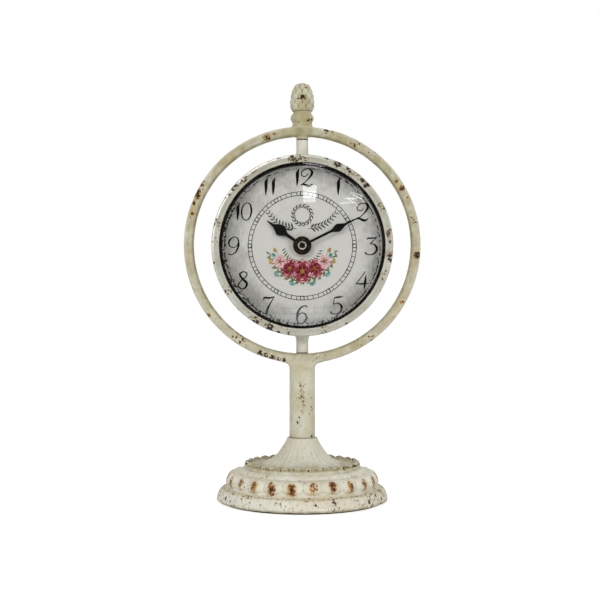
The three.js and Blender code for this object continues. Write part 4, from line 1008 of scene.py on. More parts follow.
@dataclass
class Casting:
    """Column, ring, pivot stubs and finial seat in one casting, and the dark washers at its pivots.

    Sizes are in millimetres. Profiles run as (radius, height); rows of the saddle give its radius across,
    its drop from the top and its radius in depth.
    """

    bar_half_across: float = 3.6
    bar_half_deep: float = 4.0
    bar_corner: float = 0.72
    bar_steps: int = 20
    ring_steps: int = 144
    ring_bottom: float = 98.2
    column_radius: float = 9.25
    column_face: float = 9.2
    shaft: Rows = ((0, 45.2), (9.0, 45.2), (9.25, 45.6), (9.25, 60), (9.2, 75), (9.25, 90.6), (9.25, 92.4))
    spread: Rows = ((9.25, 92.4), (9.25, 94.4), (9.4, 96.1), (10.3, 97.5), (12.2, 98.6), (15.0, 99.3))
    spread_top: Rows = ((15.0, 101.6), (0, 101.6))
    thinned_from: float = 92.0
    thinned_over: float = 7.3
    thinned_half: float = 3.9
    stub_radius: float = 4.3
    stub_root: float = 1.5
    saddle_rows: Rows = (
        (7.6, 0, 7.6), (8.2, 1.2, 6.9), (9.4, 2.5, 5.9), (11.4, 3.8, 4.9), (13.4, 5.2, 4.1))
    voxel: float = 0.5
    skin: Pair = (0.26, 10.0)
    washer_bore: float = 2.3
    washer_rounding: float = 0.08
    wear: RingWear = RingWear()

    def __post_init__(self) -> None:
        """Takes the ring's outer radius from the frame and works out the height of its centre."""
        self.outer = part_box("ring_frame")[1].x
        self.centre = self.ring_bottom * MM + self.outer

    def build(self) -> None:
        """Builds the casting and the washers."""
        self.casting()
        self.washers()

    def casting(self) -> None:
        """Joins ring, column, stubs and seat, and melts them into one skin."""
        piece = self.bar()
        blended(piece, self.column(), Blend.ADD)
        inner = self.outer - 2 * self.bar_half_across * MM
        root = self.stub_root * MM
        low_stub = (self.centre - inner - root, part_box("lower_thrust_washer")[0].z)
        high_stub = (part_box("upper_thrust_washer")[1].z, self.centre + inner + root)
        for name, (low, high) in (("low_stub", low_stub), ("high_stub", high_stub)):
            radius = self.stub_radius * MM
            stub = turned(name, [(0, low), (radius, low), (radius, high), (0, high)], Axis.UPRIGHT, 48)
            blended(piece, stub, Blend.ADD)
        blended(piece, self.saddle(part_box("finial_collar")[0].z), Blend.ADD)
        applied(piece, "REMESH", mode="VOXEL", voxel_size=self.voxel * MM)
        applied(piece, "SMOOTH", factor=0.5, iterations=7)
        uneven(piece, *self.skin)
        self.age(piece)
        piece.name = piece.data.name = "ring_and_column"
        settled(piece, STAND_BODY, ["ring_frame"], STAND_PAINT, 70)

    def bar(self) -> bpy.types.Object:
        """The ring's rounded bar, spun from its section."""
        middle = self.outer - self.bar_half_across * MM
        section = []
        for step in range(self.bar_steps + 1):
            turn = step / self.bar_steps * TURN
            across = math.copysign(abs(math.cos(turn)) ** self.bar_corner, math.cos(turn))
            deep = math.copysign(abs(math.sin(turn)) ** self.bar_corner, math.sin(turn))
            section.append((middle + self.bar_half_across * MM * across, self.bar_half_deep * MM * deep))
        return turned("iron_ring", section, Axis.DEPTH, self.ring_steps, (0, 0, self.centre))

    def column(self) -> bpy.types.Object:
        """The round column, which spreads across and thins in depth where it runs into the ring."""
        profile = in_mm([*self.shaft, *flowing(self.spread, 3)[1:], *self.spread_top])
        piece = turned("iron_column", profile, Axis.UPRIGHT, 72)
        rows = places(piece)
        start = self.thinned_from * MM
        for level in sorted(set(np.round(rows[:, 2], 5))):
            across = float(np.abs(rows[np.abs(rows[:, 2] - level) < ROW][:, 0]).max())
            if level < start or across < 1 * MM:
                continue
            share = min(1.0, (level - start) / (self.thinned_over * MM))
            deep = self.column_radius * MM + (self.thinned_half - self.column_radius) * MM * share**1.3
            self.flatten_row(piece, level, deep / across)
        return piece

    @staticmethod
    def flatten_row(piece: bpy.types.Object, level: float, ratio: float) -> None:
        """Scales one row of a turned piece in depth."""
        with editing(piece):
            bpy.ops.mesh.select_all(action="DESELECT")
        for vertex in piece.data.vertices:
            vertex.select = abs(vertex.co.z - level) < ROW
        pick_only(piece)
        bpy.ops.object.mode_set(mode="EDIT")
        bpy.ops.transform.resize(value=(1, ratio, 1), center_override=(0, 0, level))
        bpy.ops.object.mode_set(mode="OBJECT")

    def saddle(self, top: float) -> bpy.types.Object:
        """The seat of the finial: round at its top and drawn out along the ring below."""
        side = [(radius * MM, top - drop * MM) for radius, drop, _ in reversed(self.saddle_rows)]
        piece = turned("saddle", [(0, side[0][1]), *side, (0, top)], Axis.UPRIGHT, 48)
        for radius, drop, depth in self.saddle_rows[1:]:
            self.flatten_row(piece, top - drop * MM, depth / radius)
        return piece

    def age(self, piece: bpy.types.Object) -> None:
        """Stores the marks of age on the ring and the column, and the painted light and shade among them.
        """
        wear, front = self.wear, -self.bar_half_across
        chips = disc_spots(wear.chips, front, self.centre) + spots_at(wear.loose_chips)
        for across, lift, reach in wear.column_front:
            place = (across * MM, -math.sqrt(self.column_face**2 - across**2) * MM, lift * MM)
            chips.append(Spot(place, reach * MM, 0.85, 1.3))
        for turn, lift in wear.column_back:
            place = on_shaft(math.radians(turn), self.column_face, lift)
            chips.append(Spot(place, 3.4 * MM, 0.8, 1.5))
        # Yellowed paint on the ring and painted shade on the finial's seat.
        worn = disc_spots(wear.yellowed, front, self.centre) + spots_at(wear.yellowed_seat, self.centre)
        rust = disc_spots(wear.rust, front, self.centre)
        aged(piece, self.grime, spots_weight(chips), spots_weight(rust), spots_weight(worn))

    def grime(self, points: np.ndarray) -> np.ndarray:
        """Grime on the flat of the ring's bar, heavier at its top, with painted shade along the bar's inner
        edge and its outer edge kept lighter as painted light; grime at the column's foot and in a streak.
        """
        out = np.hypot(points[:, 0], points[:, 2] - self.centre)
        on_ring = (out > 77 * MM) & (out < 87 * MM) & (np.abs(points[:, 1]) < 8 * MM)
        across = np.clip(np.abs(out - 81.6 * MM) / (self.bar_half_across * MM), 0, 1)
        top = step_up(points[:, 2] - self.centre, -60, 80)
        outer = step_up(out, 83, 84.6)
        inner = 1 - step_up(out, 78.4, 80)
        # Painted light and shade on the rounded bar: the outer edge is kept lighter and the inner edge
        # darker, as a bar lit from outside looks.
        bar = on_ring * ((1 - 0.6 * across**3 - 0.45 * outer) * (0.5 + 0.2 * top) + 0.45 * inner)
        foot = 0.55 * (1 - step_up(points[:, 2], 45.3, 46.2))
        streak = spots_weight([
            Spot((across * MM, -9.1 * MM, lift * MM), reach * MM, 0.8, tall)
            for across, lift, reach, tall in self.wear.streak])
        return np.maximum.reduce([bar, foot, 0.9 * streak(points)])

    def washers(self) -> None:
        """The dark washers that show as thin joints at both pivots."""
        bore = self.washer_bore * MM
        for node in ("lower_thrust_washer", "upper_thrust_washer"):
            low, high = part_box(node)
            profile = [(bore, low.z), (high.x, low.z), (high.x, high.z), (bore, high.z), (bore, low.z)]
            piece = turned(f"{node}_disc", profile, Axis.UPRIGHT, 64)
            softened(piece, self.washer_rounding * MM)
            settled(piece, STAND_BODY, [node], NYLON)


@dataclass
class Finial:
    """The pine cone on its bulging collar.

    Sizes are in millimetres. Profiles run as (radius, height over the piece's foot), and rows of wear give
    a place over that foot, reach, strength and stretch.
    """

    bore: float = 2.3
    collar_side: Rows = (
        (7.5, 0.1), (7.0, 1.3), (7.1, 2.5), (7.8, 3.8), (8.3, 5.2), (8.1, 6.6), (7.3, 8.0), (6.6, 9.2),
        (6.4, 10.3))
    collar_sunk: float = 0.45
    collar_skin: Pair = (0.5, 5.0)
    collar_chips: Rows = (
        (-7.4, -2, 7, 2.6, 1.0, 1.6), (4.6, -6.6, 3.4, 2, 1.0), (6.6, -5, 4.2, 1.6, 1.0),
        (-3, -7, 2, 1.4, 0.9), (2, 7, 4, 3, 0.8))
    cone_side: Rows = (
        (6.2, 0), (7.0, 1.3), (7.6, 3.0), (7.85, 5.2), (7.75, 8), (7.4, 11), (6.8, 13.8), (5.9, 16.3),
        (4.5, 18.5), (2.6, 20.1), (0, 20.6))
    cone_bore_depth: float = 9.0
    cone_skin: Pair = (0.35, 3.0)
    cone_rust: Rows = (
        (0.2, -8.3, 9.4, 2.5, 1.0), (-2.8, -7.6, 8.4, 1.3, 0.95), (1.8, -8, 8.3, 1.6, 0.9),
        (3.2, -6, 16.6, 1.2, 0.9), (-3, 7.6, 8, 2.4, 0.9))
    cone_yellowed: Rows = ((0.8, -7.6, 5.5, 7.5, 0.75, 1.3), (0, 7.6, 8, 8, 0.6))
    scale_bulge: float = 1.15
    scale_rise: float = 3.7
    scales_round: int = 9

    def build(self) -> None:
        """Builds the collar and the cone."""
        self.collar(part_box("finial_collar")[0].z)
        self.cone(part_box("finial_cone")[0].z)

    def collar(self, bottom: float) -> None:
        """The collar, which starts a little inside its seat."""
        side = flowing(self.collar_side, 5)
        top = side[-1][1]
        foot = [(self.bore, -self.collar_sunk), (side[0][0], -self.collar_sunk)]
        line = [*foot, *side, (self.bore, top), foot[0]]
        profile = [(radius * MM, bottom + height * MM) for radius, height in line]
        piece = turned("finial_collar_cast", profile, Axis.UPRIGHT, 96)
        uneven(piece, *self.collar_skin)
        chips = spots_weight(spots_at(self.collar_chips, bottom))
        aged(piece, even(0.25), chips, tint=self.collar_yellowed)
        settled(piece, STAND_BODY, ["finial_collar"], FINIAL_PAINT, 60)

    @staticmethod
    def collar_yellowed(points: np.ndarray) -> np.ndarray:
        """Yellowed paint on the collar, less of it at both sides."""
        return 0.85 - 0.5 * step_up(np.abs(points[:, 0]), 4.5, 7.5)

    def cone(self, bottom: float) -> None:
        """The pine cone with its rows of overlapping scales."""
        side = flowing(self.cone_side, 9)
        deep = self.cone_bore_depth
        line = [(0, deep), (self.bore, deep), (self.bore, 0), *side[:-1], self.cone_side[-1]]
        profile = [(radius * MM, bottom + height * MM) for radius, height in line]
        piece = turned("pine_cone", profile, Axis.UPRIGHT, 120)
        swelled(piece, lambda points: self.on_scales(points, bottom), self.scale_bulge * MM)
        uneven(piece, *self.cone_skin)
        aged(
            piece,
            lambda points: 0.95 * (1 - self.on_scales(points, bottom)) ** 1.3,
            even(0.12),
            spots_weight(spots_at(self.cone_rust, bottom)),
            spots_weight(spots_at(self.cone_yellowed, bottom)),
        )
        settled(piece, STAND_BODY, ["finial_cone"], FINIAL_PAINT, 60)

    def on_scales(self, points: np.ndarray, bottom: float) -> np.ndarray:
        """Share of the scales' swell: scales lap over the next row, each row set half a scale round."""
        rows = (points[:, 2] - bottom) / (self.scale_rise * MM)
        around = np.arctan2(points[:, 0], -points[:, 1]) / TURN * self.scales_round
        found = np.zeros(len(points))
        for below in (0, 1):
            row = np.floor(rows) - below
            up = rows - row
            across = np.abs(2 * ((around + 0.5 * (row % 2) + 0.5) % 1) - 1)
            edge = across**2 + (np.clip(up - 0.5, 0, None) / 0.92) ** 2
            scale = np.clip((1 - edge) * 3, 0, 1) * (0.3 + 0.5 * np.clip(up, 0, 1.4))
            found = np.maximum(found, scale)
        height = points[:, 2] - bottom
        return found * (1 - step_up(height, 18.5, 20.6)) * step_up(height, 0.2, 1.2)


# The case


@dataclass(frozen=True)
class CaseWear:
    """Where the case's paint is worn.

    Rows give degrees clockwise from the top, radius, reach and strength. Rows on the band give degrees and
    depth, and rows on the cover degrees and radius. All are in millimetres.
    """

    bezel_depth: float = -17.6
    bezel_rust: Rows = (
        (47, 61.6, 2.9, 1.2), (43, 62.4, 1.8, 1.1), (97, 62.4, 2.2, 1.0), (88, 62, 1.4, 1.0))
    lip_depth: float = -17.4
    lip_rust: Rows = ((82, 61.4, 2.2, 1.25), (355, 61.6, 1.8, 0.5))
    bezel_chips: Rows = (
        (318, 62.6, 5, 0.75), (311, 62.6, 4, 0.9), (303, 62.6, 5, 0.6), (327, 62.6, 6, 0.5),
        (284, 62.6, 7, 0.6), (274, 62.6, 6, 0.5), (355, 62.6, 6, 0.8), (2, 62.6, 5, 0.6),
        (24, 62.6, 4, 0.95), (32, 62.6, 7, 0.6), (40, 62.6, 5, 0.5), (97, 62.6, 6, 0.7),
        (110, 62.6, 7, 0.5), (202, 62.6, 6, 0.9), (212, 62.6, 7, 0.7), (190, 62.6, 7, 0.5),
        (165, 62.6, 7, 0.5), (240, 62.6, 7, 0.4), (82, 62.6, 5, 0.7), (64, 62.6, 6, 0.5))
    edge_chips: Rows = (
        (316, 63.5, 2.4), (310, 63.5, 1.6), (345, 63.5, 1.7), (339, 63.5, 1.2), (16, 63.5, 1.6),
        (31, 63.5, 2.0), (68, 63.5, 1.5), (80, 63.5, 1.8), (101, 63.5, 1.6), (259, 63.5, 1.6),
        (272, 63.5, 1.4), (283, 63.5, 1.6), (196, 63.5, 1.6), (226, 63.5, 1.4), (151, 63.5, 1.6))
    band_chips: Rows = ((20, -6), (75, 2), (140, -4), (250, 3), (310, -5))
    cover_chips: Rows = ((30, 55), (100, 60), (170, 50), (220, 58), (300, 52))
    cover_rust: Rows = ((15, 62.4), (118, 62.4), (203, 62.4), (331, 62.4))


@dataclass
class Case:
    """The round case that hangs in the ring, with its glass and dial.

    Sizes are in millimetres. Profiles run as (radius, depth), and depths count from the swing axis
    towards the back.
    """

    steps: int = 160
    body: str = "case"
    band_outside: float = 63.4
    band_line: Rows = (
        (63.4, -11.9), (63.4, 10.3), (63.2, 10.5), (61.8, 10.5), (61.8, -5.6), (57.5, -5.6), (57.5, -7.2),
        (61.8, -7.2), (61.8, -12), (63.3, -12), (63.4, -11.9))
    post_ring: float = 59.6
    post_line: Rows = ((0, 0.5), (2.6, 0.5), (2.6, 10.5), (0, 10.5))
    tube_root: Rows = ((7.2, 62.9), (6.0, 63.9), (5.1, 64.9), (4.55, 66.2), (4.3, 68.0))
    tube_sunk: float = 61.9
    tube_chamfer: float = 0.25
    tube_bore: float = 2.3
    tube_bore_depth: float = 10.0
    tube_seat: float = 63.42
    bezel_lip: Rows = (
        (58.8, -15.8), (58.8, -16.5), (59.0, -16.95), (59.4, -17.1), (59.8, -17.0), (60.1, -16.75),
        (60.5, -16.65))
    bezel_bead: Rows = (
        (60.9, -16.8), (61.5, -17.2), (62.1, -17.65), (62.7, -17.95), (63.3, -17.9), (63.9, -17.4),
        (64.2, -16.5))
    bezel_back: Rows = ((64.2, -12.2), (64.0, -12.0), (60.5, -12.0), (60.5, -15.7), (58.8, -15.7))
    glass_rim: float = 1.8
    glass_rise: float = 7.0
    glass_hollow: float = 7.4
    glass_front: float = -15.0
    glass_steps: int = 24
    gasket_inside: float = 59.0
    spacer_inside: float = 57.0
    dial_hole: float = 4.2
    dial_back: float = -7.2
    cover_line: Rows = (
        (0, 10.5), (63.2, 10.5), (63.4, 10.7), (63.4, 11.2), (63.1, 11.5), (60.0, 11.5), (54.0, 11.5),
        (53.5, 11.35), (51.5, 11.35), (51.0, 11.5), (0, 11.5))
    window: float = 57.2
    window_corner: float = 1.6
    cover_middle: float = 11.0
    cover_back: float = 11.5
    screw_shank: Rows = ((0, 4.5), (1.1, 4.8), (1.1, 11.5))
    screw_head: Rows = ((2.4, 0), (2.38, 0.35), (2.1, 0.8), (1.4, 1.1), (0, 1.2))
    screw_slots: Rows = ((3.0, 0.6), (0.6, 3.0))
    slot_tall: float = 1.4
    slot_depth: float = 12.9
    wear: CaseWear = CaseWear()

    def __post_init__(self) -> None:
        """Takes the case's centre, the dial's radius and its front from the frame."""
        low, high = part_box("dial")
        self.centre = (0.0, 0.0, (low.z + high.z) / 2)
        self.dial_radius = high.x
        self.dial_front = low.y

    def about(self, name: str, profile: Sequence[Pair]) -> bpy.types.Object:
        """A piece turned about the case's axis, its profile in millimetres as (radius, depth)."""
        return turned(name, in_mm(profile), Axis.DEPTH, self.steps, self.centre)

    def spots(self, rows: Rows, depth: float) -> list[Spot]:
        """Spots on the case's front or back, from rows of degrees, radius, reach and strength."""
        return disc_spots(rows, depth, self.centre[2])

    def out(self, points: np.ndarray) -> np.ndarray:
        """Distance of each point from the case's axis, in metres."""
        return np.hypot(points[:, 0], points[:, 2] - self.centre[2])

    def build(self) -> None:
        """Builds every piece of the case from its band to its screws."""
        self.band()
        self.tubes()
        self.bezel()
        self.glass()
        self.seals()
        self.dial()
        self.back_cover()
        self.screws()

    def band(self) -> None:
        """The sheet iron band with its rib and screw posts."""
        piece = self.about("band", self.band_line)
        for index in range(4):
            turn = math.radians(45 + 90 * index)
            ring = self.post_ring * MM
            foot = (ring * math.cos(turn), 0, self.centre[2] + ring * math.sin(turn))
            blended(piece, turned("post", in_mm(self.post_line), Axis.DEPTH, 24, foot), Blend.ADD)
        chips = [
            Spot(on_disc(turn, self.band_outside, depth, self.centre[2]), 3 * MM, 0.8)
            for turn, depth in self.wear.band_chips]
        aged(piece, lambda points: 0.5 * (1 - step_up(points[:, 1], -12, -10)), spots_weight(chips))
        settled(piece, self.body, ["case_band"], CASE_PAINT)

    def tubes(self) -> None:
        """The two pivot tubes that stand on the band."""
        top = (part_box("upper_tube")[1].z - self.centre[2]) / MM
        floor = top - self.tube_bore_depth
        root = flowing(self.tube_root, 4)
        radius = self.tube_root[-1][0]
        profile = [
            (0, self.tube_sunk), (root[0][0], self.tube_sunk), *root, (radius, top - self.tube_chamfer),
            (radius - self.tube_chamfer, top), (self.tube_bore, top), (self.tube_bore, floor), (0, floor)]
        seat = in_mm([(0, -30), (self.tube_seat, -30), (self.tube_seat, 30), (0, 30)])
        for name, node, side in (
            ("upper_pivot_tube", "upper_tube", 1),
            ("lower_pivot_tube", "lower_tube", -1),
        ):
            line = [(across * MM, self.centre[2] + side * level * MM) for across, level in profile]
            piece = turned(name, line, Axis.UPRIGHT, 64)
            blended(piece, turned("seat", seat, Axis.DEPTH, self.steps, self.centre), Blend.CUT)
            uneven(piece, 0.15, 6)
            end = self.centre[2] + side * top * MM
            aged(piece, lambda points, end=end: 0.5 * (1 - step_up(np.abs(points[:, 2] - end), 0.1, 0.6)))
            settled(piece, self.body, [node], CASE_PAINT, 50)

    def bezel(self) -> None:
        """The bezel: a half-round bead, a groove and a thin lip over the glass."""
        profile = [*flowing(self.bezel_lip, 3), *flowing(self.bezel_bead, 3), *self.bezel_back]
        piece = self.about("bezel_ring", [*profile, profile[0]])
        uneven(piece, 0.25, 6)
        wear = self.wear
        rust = self.spots(wear.bezel_rust, wear.bezel_depth) + self.spots(wear.lip_rust, wear.lip_depth)
        chips = self.spots(wear.bezel_chips, wear.bezel_depth) + self.spots(wear.edge_chips, wear.lip_depth)
        aged(piece, self.bezel_grime, spots_weight(chips), spots_weight(rust), self.bezel_bright)
        settled(piece, self.body, ["bezel"], BEZEL_PAINT, 50)

    def bezel_grime(self, points: np.ndarray) -> np.ndarray:
        """Grime and painted shade in the groove and as a dark line along the bead's outer foot."""
        out = self.out(points)
        return np.maximum(0.42 * between(out, 59.8, 62.4), 0.75 * step_up(out, 63.85, 64.15))

    def bezel_bright(self, points: np.ndarray) -> np.ndarray:
        """Painted highlight along the bead, strongest at its upper left, where the light falls."""
        out = self.out(points)
        upper_left = np.clip((points[:, 2] - self.centre[2] - points[:, 0]) / out / math.sqrt(2), 0, 1)
        on_bead = step_up(out, 62.3, 62.8) * (1 - step_up(out, 63.5, 63.9))
        return (0.1 + 0.95 * upper_left**2) * on_bead

    def glass(self) -> None:
        """The domed glass."""
        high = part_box("lens")[1]
        radius, back = high.x / MM, high.y / MM
        out = radius - self.glass_rim
        inner = out - self.glass_rim
        shares = [step / self.glass_steps for step in range(self.glass_steps + 1)]
        dome = [(out * share, self.glass_front - self.glass_rise * (1 - share**2)) for share in shares]
        under = [(inner * share, back - self.glass_hollow * (1 - share**2)) for share in reversed(shares)]
        piece = self.about("domed_glass", [*dome, (radius, self.glass_front), (radius, back), *under])
        settled(piece, self.body, ["lens"], ClearGlass("clear_glass"), 40)

    def seals(self) -> None:
        """The gasket in front of the glass's edge and the black spacer behind it."""
        for name, node, slot, finish, inner in (
            ("glass_gasket", "lens_gasket", "black_rubber", RUBBER, self.gasket_inside),
            ("black_spacer", "spacer_ring", "black_plastic", BLACK_PLASTIC, self.spacer_inside),
        ):
            low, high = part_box(node)
            out, front, back = high.x / MM, low.y / MM, high.y / MM
            line = [(out, front), (out, back), (inner, back), (inner, front), (out, front)]
            piece = self.about(name, line)
            softened(piece, 0.15 * MM)
            settled(piece, self.body, [node], finish)

    def dial(self) -> None:
        """The dial and everything printed on it."""
        hole, front, back = self.dial_hole, self.dial_front / MM, self.dial_back
        radius = self.dial_radius / MM
        line = [(hole, front), (radius, front), (radius, back), (hole, back), (hole, front)]
        piece = self.about("printed_dial", line)
        softened(piece, 0.1 * MM)
        paper = DialPaper("dial_paper", self.centre, self.dial_radius)
        settled(piece, self.body, ["dial"], paper)
        DialPrint(self.centre, self.dial_front, self.body).build()

    @staticmethod
    def block(at: Place, size: Place) -> bpy.types.Object:
        """A block that something else is cut with."""
        bpy.ops.mesh.primitive_cube_add(size=1, location=at, scale=size)
        block = bpy.context.active_object
        pick_only(block)
        bpy.ops.object.transform_apply(location=True, rotation=True, scale=True)
        return block

    def back_cover(self) -> None:
        """The back cover with its rolled edge, raised ring and square window."""
        piece = self.about("back_plate", self.cover_line)
        at = (0, self.cover_middle * MM, self.centre[2])
        window = self.block(at, (self.window * MM, 8 * MM, self.window * MM))
        softened(window, self.window_corner * MM, 4)
        blended(piece, window, Blend.CUT)
        chips = [(turn, radius, 6, 0.7) for turn, radius in self.wear.cover_chips]
        rust = [(turn, radius, 3, 0.8) for turn, radius in self.wear.cover_rust]
        aged(
            piece,
            lambda points: 0.7 * between(self.out(points), 50, 55),
            spots_weight(self.spots(chips, self.cover_back)),
            spots_weight(self.spots(rust, self.cover_back - 0.1)),
        )
        settled(piece, self.body, ["back_cover"], CASE_PAINT)

    def screws(self) -> None:
        """The four pan-headed screws of the back cover, one modelled and three copied."""
        centre = self.screw_centre(1)
        head = [(radius, self.cover_back + rise) for radius, rise in flowing(self.screw_head, 4)]
        first = turned("cover_screw_1", in_mm([*self.screw_shank, *head]), Axis.DEPTH, 40, centre)
        for wide, tall in self.screw_slots:
            at = (centre[0], self.slot_depth * MM, centre[2])
            blended(first, self.block(at, (wide * MM, self.slot_tall * MM, tall * MM)), Blend.CUT)
        pieces = [first]
        for index in range(2, 5):
            copy = bpy.data.objects.new(f"cover_screw_{index}", first.data.copy())
            bpy.context.scene.collection.objects.link(copy)
            with editing(copy):
                bpy.ops.transform.translate(value=Vector(self.screw_centre(index)) - Vector(centre))
            pieces.append(copy)
        for index, piece in enumerate(pieces, 1):
            settled(piece, self.body, [f"back_screw_{index}"], STEEL)

    @staticmethod
    def screw_centre(index: int) -> Place:
        """Where the axis of a cover screw lies."""
        low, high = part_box(f"back_screw_{index}")
        return ((low.x + high.x) / 2, 0, (low.z + high.z) / 2)


# What is printed on the dial

# Pen strokes of the numerals in shares of their height, as (across, up, width)
STROKE_SHARES: dict[str, list[Rows]] = {
    "1": [
        [(0.35, 1, 0.01), (0.3, 0.88, 0.08), (0.26, 0.72, 0.155), (0.27, 0.5, 0.145), (0.27, 0.22, 0.09),
         (0.275, 0, 0.015)],
    ],
    "2": [
        [(0.46, 0.98, 0.02), (0.24, 0.95, 0.04), (0.07, 0.78, 0.045), (0.1, 0.6, 0.04), (0.27, 0.54, 0.035),
         (0.4, 0.63, 0.025), (0.4, 0.72, 0.01)],
        [(0.34, 0.99, 0.02), (0.52, 0.97, 0.05), (0.67, 0.8, 0.12), (0.62, 0.6, 0.09), (0.42, 0.34, 0.04),
         (0.2, 0.14, 0.03), (0.06, 0.05, 0.02)],
        [(0.06, 0.05, 0.03), (0.2, 0.1, 0.07), (0.38, 0.03, 0.12), (0.55, -0.01, 0.1), (0.74, 0.1, 0.02)],
    ],
    "3": [
        [(0.08, 0.86, 0.02), (0.16, 0.94, 0.06), (0.4, 0.94, 0.06), (0.64, 1, 0.02)],
        [(0.64, 1, 0.03), (0.46, 0.8, 0.03), (0.28, 0.62, 0.03)],
        [(0.28, 0.62, 0.03), (0.52, 0.58, 0.05), (0.68, 0.36, 0.11), (0.6, 0.12, 0.08), (0.36, 0, 0.04),
         (0.1, 0.04, 0.05), (0.03, 0.15, 0.07)],
    ],
    "4": [
        [(0.52, 1, 0.03), (0.28, 0.65, 0.03), (0.02, 0.3, 0.03)],
        [(0.02, 0.3, 0.03), (0.35, 0.29, 0.07), (0.76, 0.32, 0.02)],
        [(0.56, 0.78, 0.02), (0.53, 0.4, 0.12), (0.5, 0, 0.03)],
    ],
    "5": [
        [(0.2, 0.94, 0.05), (0.42, 0.97, 0.08), (0.68, 1, 0.02)],
        [(0.2, 0.96, 0.03), (0.13, 0.56, 0.03)],
        [(0.13, 0.56, 0.03), (0.4, 0.63, 0.04), (0.62, 0.44, 0.1), (0.57, 0.14, 0.08), (0.33, 0, 0.04),
         (0.08, 0.04, 0.05), (0.02, 0.15, 0.07)],
    ],
    "6": [
        [(0.6, 0.94, 0.06), (0.44, 1, 0.04), (0.2, 0.86, 0.06), (0.06, 0.55, 0.1), (0.04, 0.26, 0.1)],
        [(0.04, 0.26, 0.1), (0.14, 0.03, 0.05), (0.36, 0, 0.04), (0.58, 0.24, 0.1), (0.54, 0.48, 0.07),
         (0.34, 0.6, 0.03), (0.14, 0.5, 0.04), (0.05, 0.3, 0.08)],
    ],
    "7": [
        [(0.08, 0.8, 0.02), (0.12, 0.94, 0.07), (0.4, 0.92, 0.08), (0.68, 1, 0.02)],
        [(0.68, 1, 0.02), (0.46, 0.6, 0.05), (0.31, 0.25, 0.11), (0.27, 0, 0.1)],
    ],
    "8": [
        [(0.36, 1, 0.04), (0.15, 0.85, 0.08), (0.3, 0.6, 0.09), (0.58, 0.3, 0.11), (0.4, 0, 0.05),
         (0.1, 0.15, 0.06), (0.2, 0.42, 0.04), (0.5, 0.7, 0.04), (0.55, 0.9, 0.05), (0.36, 1, 0.04)],
    ],
    "9": [
        [(0.62, 0.74, 0.06), (0.52, 0.95, 0.04), (0.3, 1, 0.03), (0.07, 0.76, 0.08), (0.1, 0.52, 0.05),
         (0.32, 0.4, 0.03), (0.52, 0.5, 0.03), (0.61, 0.68, 0.05)],
        [(0.62, 0.74, 0.06), (0.61, 0.46, 0.08), (0.46, 0.13, 0.05), (0.22, 0, 0.03), (0.06, 0.06, 0.06)],
    ],
    "0": [
        [(0.36, 1, 0.03), (0.22, 0.94, 0.04), (0.11, 0.77, 0.05), (0.06, 0.5, 0.06), (0.1, 0.23, 0.05),
         (0.2, 0.06, 0.04), (0.33, 0, 0.03)],
        [(0.33, 0, 0.03), (0.47, 0.06, 0.04), (0.57, 0.23, 0.06), (0.62, 0.5, 0.08), (0.58, 0.77, 0.07),
         (0.49, 0.94, 0.05), (0.36, 1, 0.03)],
    ],
}
WIDTH_SHARES = {"1": 0.42}
WIDTH_SHARE = 0.76
Stroke = list[tuple[float, float, float]]


